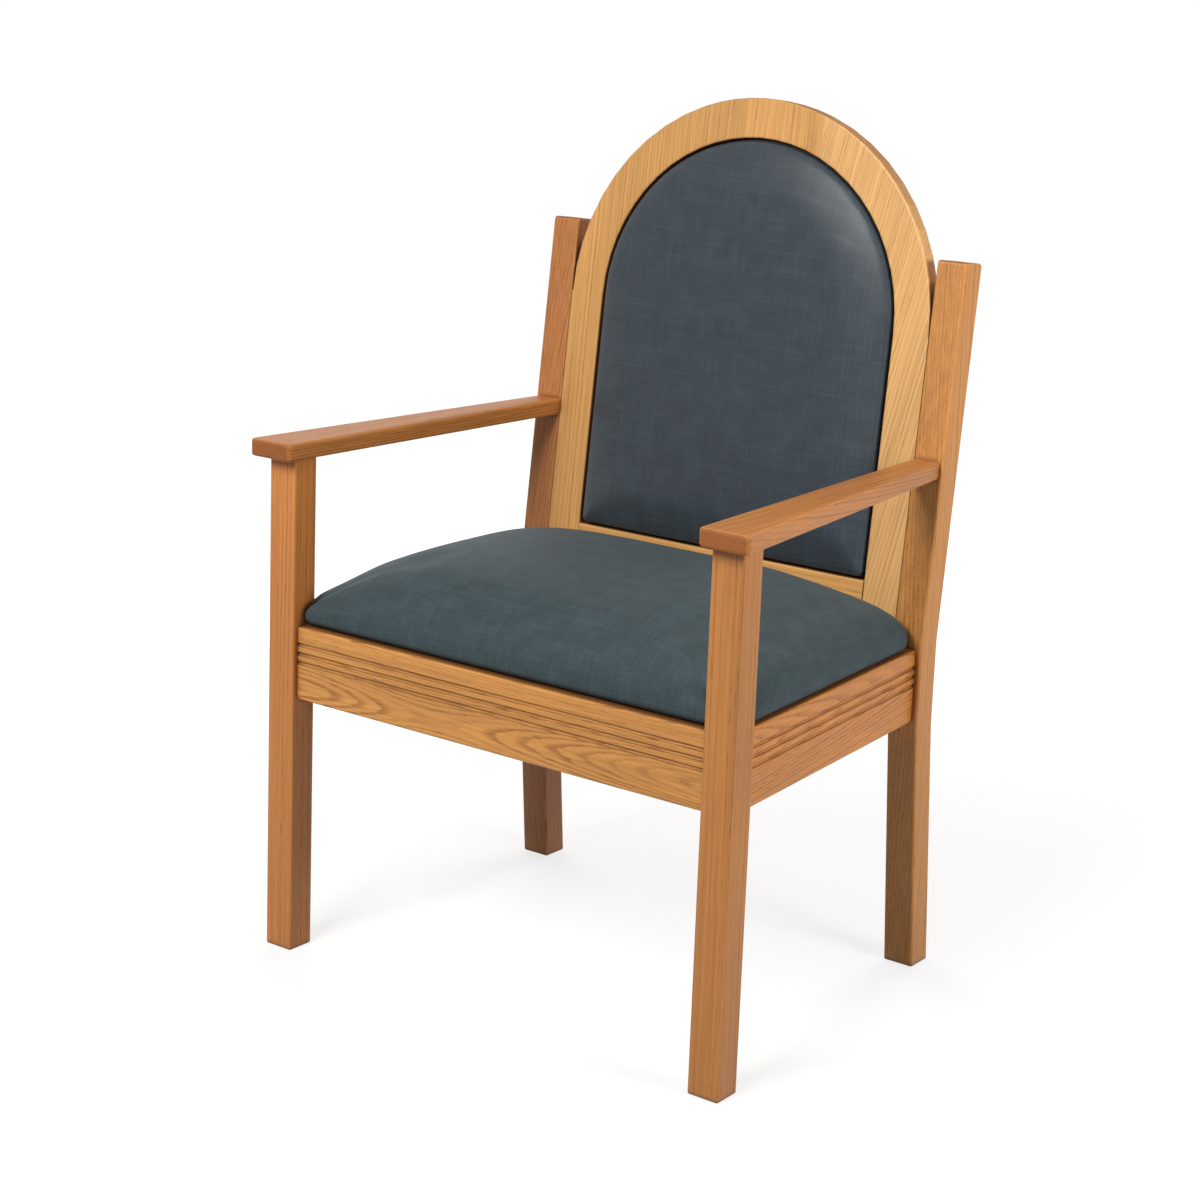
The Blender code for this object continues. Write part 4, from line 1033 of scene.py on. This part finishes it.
class CHAIR_OT_dust_cover(bpy.types.Operator):
    """Make the black dust cover under the seat, with its staples"""
    bl_idname = "chair.dust_cover"
    bl_label = "Dust Cover"

    def execute(self, context):
        leg_low, leg_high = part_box("front_leg_right")
        post_low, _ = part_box("rear_post_right")
        low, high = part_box("dust_cover")
        leg, post = leg_low.x - SHEET_GAP, post_low.x - SHEET_GAP
        behind_leg, before_post = leg_high.y + SHEET_GAP, post_low.y - SHEET_GAP
        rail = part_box("side_rail_right")[0].x - SHEET_GAP
        right = [(leg, low.y), (leg, behind_leg), (high.x, behind_leg),
                 (rail, before_post), (post, before_post), (post, high.y)]
        outline = mirrored(right)
        middle = np.array((0.0, (low.y + high.y) / 2))
        plan = np.array(spaced(outline, SHEET_STEP)) - middle
        solid = bmesh.new()
        rings = [[(*middle, high.z - SHEET_SAG)]]
        for k in range(1, SHEET_RINGS + 1):
            share = k / SHEET_RINGS
            sag = SHEET_SAG * max(0, 1 - (share / SHEET_TIGHT) ** 2) ** 1.5
            rings.append([(a, b, high.z - sag) for a, b in plan * share + middle])
        skin(solid, rings)
        thing = new_piece("dust_sheet", solid, dust_cloth())
        thick = thing.modifiers.new("thick", "SOLIDIFY")
        thick.thickness = high.z - low.z
        thick.offset = -1.0 if thing.data.polygons[0].normal.z > 0 else 1.0
        settle(thing)
        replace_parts(thing, "dust_cover")
        self.add_staples(right, low.z)
        return {"FINISHED"}

    @staticmethod
    def add_staples(right, under):
        """Staples along the four free edges of the dust cover."""
        (inner, front), _, (wide, side_front), (narrow, side_rear), (post, _), (_, rear) = right
        edges = [((-inner, front), (inner, front), (0, 1)), ((-post, rear), (post, rear), (0, -1))]
        for side in SIDES.values():
            edges.append(((side * wide, side_front), (side * narrow, side_rear), (-side, 0)))
        solid = bmesh.new()
        for start, end, inward in edges:
            start, end, inward = Vector(start), Vector(end), Vector(inward)
            run = (end - start).length - 2 * BLOCK_ROOM
            way = (end - start).normalized()
            count = int(run / STAPLE_PITCH)
            for k in range(count + 1):
                spot = start + way * (BLOCK_ROOM + run * k / count) + inward * STAPLE_INSET
                rows = skin(solid, staple_rings(spot, way, under))
                solid.faces.new(rows[0])
                solid.faces.new(rows[-1])
        new_piece("dust_sheet_staples", solid, zinc(), sharp=40)


# Wood

class CHAIR_OT_legs(bpy.types.Operator):
    """Finish the front legs and the rear posts in upright oak"""
    bl_idname = "chair.legs"
    bl_label = "Legs and Posts"

    def execute(self, context):
        dress_in_oak("front_leg_left", "front_leg_right", "rear_post_left", "rear_post_right")
        return {"FINISHED"}


class CHAIR_OT_rails(bpy.types.Operator):
    """Finish the grooved seat rails in oak that runs along them"""
    bl_idname = "chair.rails"
    bl_label = "Seat Rails"

    def execute(self, context):
        dress_in_oak("front_rail", "rear_rail", "side_rail_left", "side_rail_right")
        return {"FINISHED"}


class CHAIR_OT_arms(bpy.types.Operator):
    """Finish the two arms in oak that runs along them"""
    bl_idname = "chair.arms"
    bl_label = "Arms"

    def execute(self, context):
        dress_in_oak("arm_left", "arm_right")
        return {"FINISHED"}


GLUE_LINE = 0.00024          # thickness of the glue in a joint of the arch
GLUE_GAP = 0.00003
SQUARE_TO = 0.99             # least cosine of a face that looks along the board


class CHAIR_OT_arch(bpy.types.Operator):
    """Finish the arched frame of the back and the panel behind it"""
    bl_idname = "chair.arch"
    bl_label = "Arched Back"

    def execute(self, context):
        dress_in_oak(*ARCH_BOARDS)
        for side, way in SIDES.items():
            self.add_glue(f"spring_glue_{side}", f"back_stile_{side}", UP_RAKE)
            self.add_glue(f"crown_glue_{side}", "arch_crown", (way, 0.0, 0.0))
        return {"FINISHED"}

    @staticmethod
    def add_glue(name, node, way):
        """Fill the joint at the end of a board with stained glue."""
        solid, way = bmesh.new(), Vector(way)
        solid.from_mesh(NODES[node].data)
        top = max(vert.co.dot(way) for vert in solid.verts)
        solid.faces.ensure_lookup_table()
        away = [face for face in solid.faces if face.normal.dot(way) < SQUARE_TO
                or top - face.calc_center_median().dot(way) > GLUE_LINE]
        bmesh.ops.delete(solid, geom=away, context="FACES")
        bmesh.ops.translate(solid, verts=solid.verts, vec=way * GLUE_GAP)
        grown = bmesh.ops.extrude_face_region(solid, geom=solid.faces[:], use_keep_orig=True)["geom"]
        bmesh.ops.translate(solid, verts=[part for part in grown if isinstance(part, bmesh.types.BMVert)],
                            vec=way * GLUE_LINE)
        new_piece(name, solid, NODES[node].data.materials[0], sharp=30)


SEAT_PLY, BACK_PLY = 0.0013, 0.0011                 # thickness of one ply


class CHAIR_OT_inside_wood(bpy.types.Operator):
    """Finish the corner blocks, the dowels and the plywood boards"""
    bl_idname = "chair.inside_wood"
    bl_label = "Blocks, Dowels and Boards"

    def execute(self, context):
        for node in NODES:
            if node.startswith("corner_block"):
                slope = -1 if node.endswith("left") == node.startswith("corner_block_front") else 1
                dress(node, bare_wood(node, tuple(Vector((1, slope, 0)).normalized()), Z_AXIS))
            elif "dowel" in node:
                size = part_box(node)[1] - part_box(node)[0]
                axis = max(range(3), key=lambda k: size[k])
                dress(node, bare_wood(node, *((X_AXIS, Y_AXIS), (Y_AXIS, Z_AXIS), (Z_AXIS, X_AXIS))[axis]))
        dress("seat_board", plywood("seat_plywood", Z_AXIS, SEAT_PLY))
        dress("back_pad_board", plywood("back_plywood", (0.0, cos(BACK_RAKE), -sin(BACK_RAKE)), BACK_PLY))
        return {"FINISHED"}


SCREW_SIDES = 28
RIM = 0.00025                # rounding of a screw head's rim
CROSS_LONG = 0.62            # cross recess, as shares of the head's radius
CROSS_WIDE = 0.15
CROSS_DEEP = 0.36
CROSS_FOOT = 0.7             # width of the recess at its foot against its mouth
HEAD_EDGE, HEAD_DEEP = 0.14, 0.62                   # edge and depth of the head, as shares of its radius


class CHAIR_OT_screws(bpy.types.Operator):
    """Make the screws, each with a cross recess in its head"""
    bl_idname = "chair.screws"
    bl_label = "Screws"

    def execute(self, context):
        for node in sorted(NODES):
            if "screw" in node:
                self.add_screw(node)
        return {"FINISHED"}

    @staticmethod
    def add_screw(node):
        """A screw in the place of a plain CAD one."""
        points = coords(NODES[node].data)
        middle = points.mean(0)
        axis = np.linalg.svd(points - middle)[2][0]
        along = (points - middle) @ axis
        radii = np.linalg.norm(points - middle - np.outer(along, axis), axis=1)
        if along[radii.argmax()] > 0:
            axis, along = -axis, -along
        start, length, head = Vector(middle + axis * along.min()), float(np.ptp(along)), float(radii.max())
        shank = float(np.median(radii[(along > along.min() + head) & (along < along.max() - head / 4)]))
        axis = Vector(axis)
        across = axis.orthogonal().normalized()
        over = axis.cross(across)

        def ring(depth, radius):
            """Points round the screw at a depth under its head."""
            turns = [2 * pi * k / SCREW_SIDES for k in range(SCREW_SIDES)]
            return [start + axis * depth + radius * (cos(t) * across + sin(t) * over) for t in turns]

        def cross(depth, share):
            """The outline of the recess at a depth, drawn in to a share."""
            long, wide = CROSS_LONG * head * share, CROSS_WIDE * head * share
            quarter = [(long, -wide), (long, wide), (wide, wide)]
            corners = []
            for k in range(4):
                c, s = round(cos(pi / 2 * k)), round(sin(pi / 2 * k))
                corners += [(c * a - s * b, s * a + c * b) for a, b in quarter]
            return [start + axis * depth + a * across + b * over for a, b in corners]

        solid = bmesh.new()
        tip = [start + axis * length]
        body = skin(solid, [ring(0, head - RIM), ring(RIM, head), ring(head * HEAD_EDGE, head),
                            ring(head * HEAD_DEEP, shank), ring(length - shank, shank), tip])
        recess = skin(solid, [cross(0, 1.0), cross(CROSS_DEEP * head, CROSS_FOOT)])
        solid.faces.new(recess[1])
        rim = [solid.edges.get((row[i - 1], row[i])) for row in (body[0], recess[0]) for i in range(len(row))]
        bmesh.ops.triangle_fill(solid, edges=rim, use_beauty=True)
        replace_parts(new_piece(f"cross_{node}", solid, zinc(), sharp=35), node)


# Stage

class Lamp(NamedTuple):
    """Where a soft lamp stands round the chair, in degrees and metres."""
    turn: float              # from the front, towards the right
    rise: float
    distance: float
    size: tuple
    power: str               # setting that holds its power
    mirrored: bool = True    # whether it shows in reflections


LAMPS = {
    "front_lamp": Lamp(-2, 38, 3.2, (1.3, 1.3), "front"),
    "right_lamp": Lamp(91, 17, 1.8, (0.6, 0.6), "side", False),
    "left_lamp": Lamp(-128, 10, 1.8, (1.3, 1.0), "side", False),
    "rear_lamp": Lamp(180, 18, 3.2, (1.6, 1.6), "rear", False),
}
FLOOR_HALF = 30.0
GLOW_REACH = (0.6, 2.3)      # distances from the chair between which the floor's white sets in
GLOW = (0.73, 0.98)          # white of the floor that is seen beside the chair and far from it


def way_to(turn, rise):
    """Direction from the chair at a turn from the front and a rise."""
    return Vector((sin(turn) * cos(rise), -cos(turn) * cos(rise), sin(rise)))


class CHAIR_OT_stage(bpy.types.Operator):
    """Set up the pale floor, the soft lamps and the camera"""
    bl_idname = "chair.stage"
    bl_label = "Stage"

    def execute(self, context):
        stage = context.scene.chair_stage
        self.add_floor(stage)
        self.add_world(stage)
        for name, lamp in LAMPS.items():
            self.add_lamp(name, lamp, getattr(stage, lamp.power))
        self.add_camera()
        context.scene.view_settings.view_transform = "Standard"
        return {"FINISHED"}

    @staticmethod
    def add_floor(stage):
        """A wide pale floor that shows white, apart from the chair's soft shadow."""
        solid = bmesh.new()
        bmesh.ops.create_grid(solid, x_segments=8, y_segments=8, size=FLOOR_HALF)
        floor = add_solid("floor", solid)
        material, net, shader = new_material("pale_floor")
        net.tree.nodes.remove(shader)
        paint = net.node("ShaderNodeBsdfDiffuse")
        net.feed(paint.inputs["Color"], stage.floor)
        glow = net.node("ShaderNodeEmission")
        glow.inputs["Color"].default_value = (1.0, 1.0, 1.0, 1.0)
        far = net.fit(net.vector("LENGTH", net.spot()), *GLOW_REACH, *GLOW)
        net.feed(glow.inputs["Strength"], net.times(net.seen(), far))
        lit = net.node("ShaderNodeAddShader")
        net.filled(lit, (paint.outputs[0], glow.outputs[0]))
        under = net.node("ShaderNodeMixShader")
        net.filled(under, (net.node("ShaderNodeNewGeometry").outputs["Backfacing"], lit.outputs[0],
                           net.node("ShaderNodeBsdfTransparent").outputs[0]))
        net.feed(net.tree.nodes["Material Output"].inputs["Surface"], under.outputs[0])
        floor.data.materials.append(material)

    @staticmethod
    def add_world(stage):
        """White where the camera or a reflection sees it, and a soft light from all round."""
        world = bpy.data.worlds.new("studio")
        bpy.context.scene.world = world
        world.use_nodes = True
        net = Net(world.node_tree)
        back = world.node_tree.nodes["Background"]
        back.inputs["Color"].default_value = (1.0, 1.0, 1.0, 1.0)
        net.feed(back.inputs["Strength"], net.math("MAXIMUM", net.seen(), stage.surround))

    @staticmethod
    def add_lamp(name, lamp, power):
        """A soft lamp round the chair, turned towards its middle."""
        light = bpy.data.lights.new(name, "AREA")
        light.shape = "RECTANGLE"
        light.size, light.size_y = lamp.size
        light.energy = power
        thing = add_object(name, light)
        thing.visible_camera = False
        thing.visible_glossy = lamp.mirrored
        way = way_to(radians(lamp.turn), radians(lamp.rise))
        thing.location = Vector((0, 0, (CAD_BOX[0].z + CAD_BOX[1].z) / 2)) + way * lamp.distance
        thing.rotation_euler = way.to_track_quat("Z", "Y").to_euler()

    @staticmethod
    def add_camera():
        """The camera at the photograph's viewing angle."""
        camera = bpy.data.cameras.new("camera")
        camera.sensor_width = CAMERA_SENSOR
        camera.lens = CAMERA_LENS
        camera.shift_x, camera.shift_y = CAMERA_SHIFT
        thing = add_object("camera", camera)
        back = way_to(CAMERA_TURN, CAMERA_RISE)
        right = (-back).cross(Vector(Z_AXIS)).normalized()
        turn = Matrix((right, back.cross(right), back)).transposed()
        turn = turn @ Matrix.Rotation(CAMERA_ROLL, 3, "Z")
        thing.matrix_world = Matrix.Translation(CAMERA_PLACE) @ turn.to_4x4()
        bpy.context.scene.camera = thing


STEPS = (CHAIR_OT_legs, CHAIR_OT_rails, CHAIR_OT_arms, CHAIR_OT_arch, CHAIR_OT_inside_wood, CHAIR_OT_screws,
         CHAIR_OT_dust_cover, CHAIR_OT_seat, CHAIR_OT_back_pad, CHAIR_OT_stage)
GROUPS = {"chair_oak": CHAIR_PG_oak, "chair_cloth": CHAIR_PG_cloth, "chair_padding": CHAIR_PG_padding,
          "chair_stage": CHAIR_PG_stage}


class CHAIR_PT_panel(bpy.types.Panel):
    """Settings and steps of the chair"""
    bl_idname = "CHAIR_PT_panel"
    bl_label = "Celebrant Chair"
    bl_space_type = "VIEW_3D"
    bl_region_type = "UI"
    bl_category = "Chair"

    def draw(self, context):
        for name, group in GROUPS.items():
            box = self.layout.box()
            for key in group.__annotations__:
                box.prop(getattr(context.scene, name), key)
        for step in STEPS:
            self.layout.operator(step.bl_idname)


def register():
    """Add the settings, the steps and the panel."""
    for kind in (*GROUPS.values(), *STEPS, CHAIR_PT_panel):
        bpy.utils.register_class(kind)
    for name, group in GROUPS.items():
        setattr(bpy.types.Scene, name, PointerProperty(type=group))


def unregister():
    """Take the settings, the steps and the panel away again."""
    for name in GROUPS:
        delattr(bpy.types.Scene, name)
    for kind in (CHAIR_PT_panel, *reversed(STEPS), *reversed(list(GROUPS.values()))):
        bpy.utils.unregister_class(kind)


def main():
    """Dress the chair, step by step."""
    register()
    bpy.ops.chair.legs()
    bpy.ops.chair.rails()
    bpy.ops.chair.arms()
    bpy.ops.chair.arch()
    bpy.ops.chair.inside_wood()
    bpy.ops.chair.screws()
    bpy.ops.chair.dust_cover()
    bpy.ops.chair.seat()
    bpy.ops.chair.back_pad()
    bpy.ops.chair.stage()


if __name__ == "__main__":
    main()
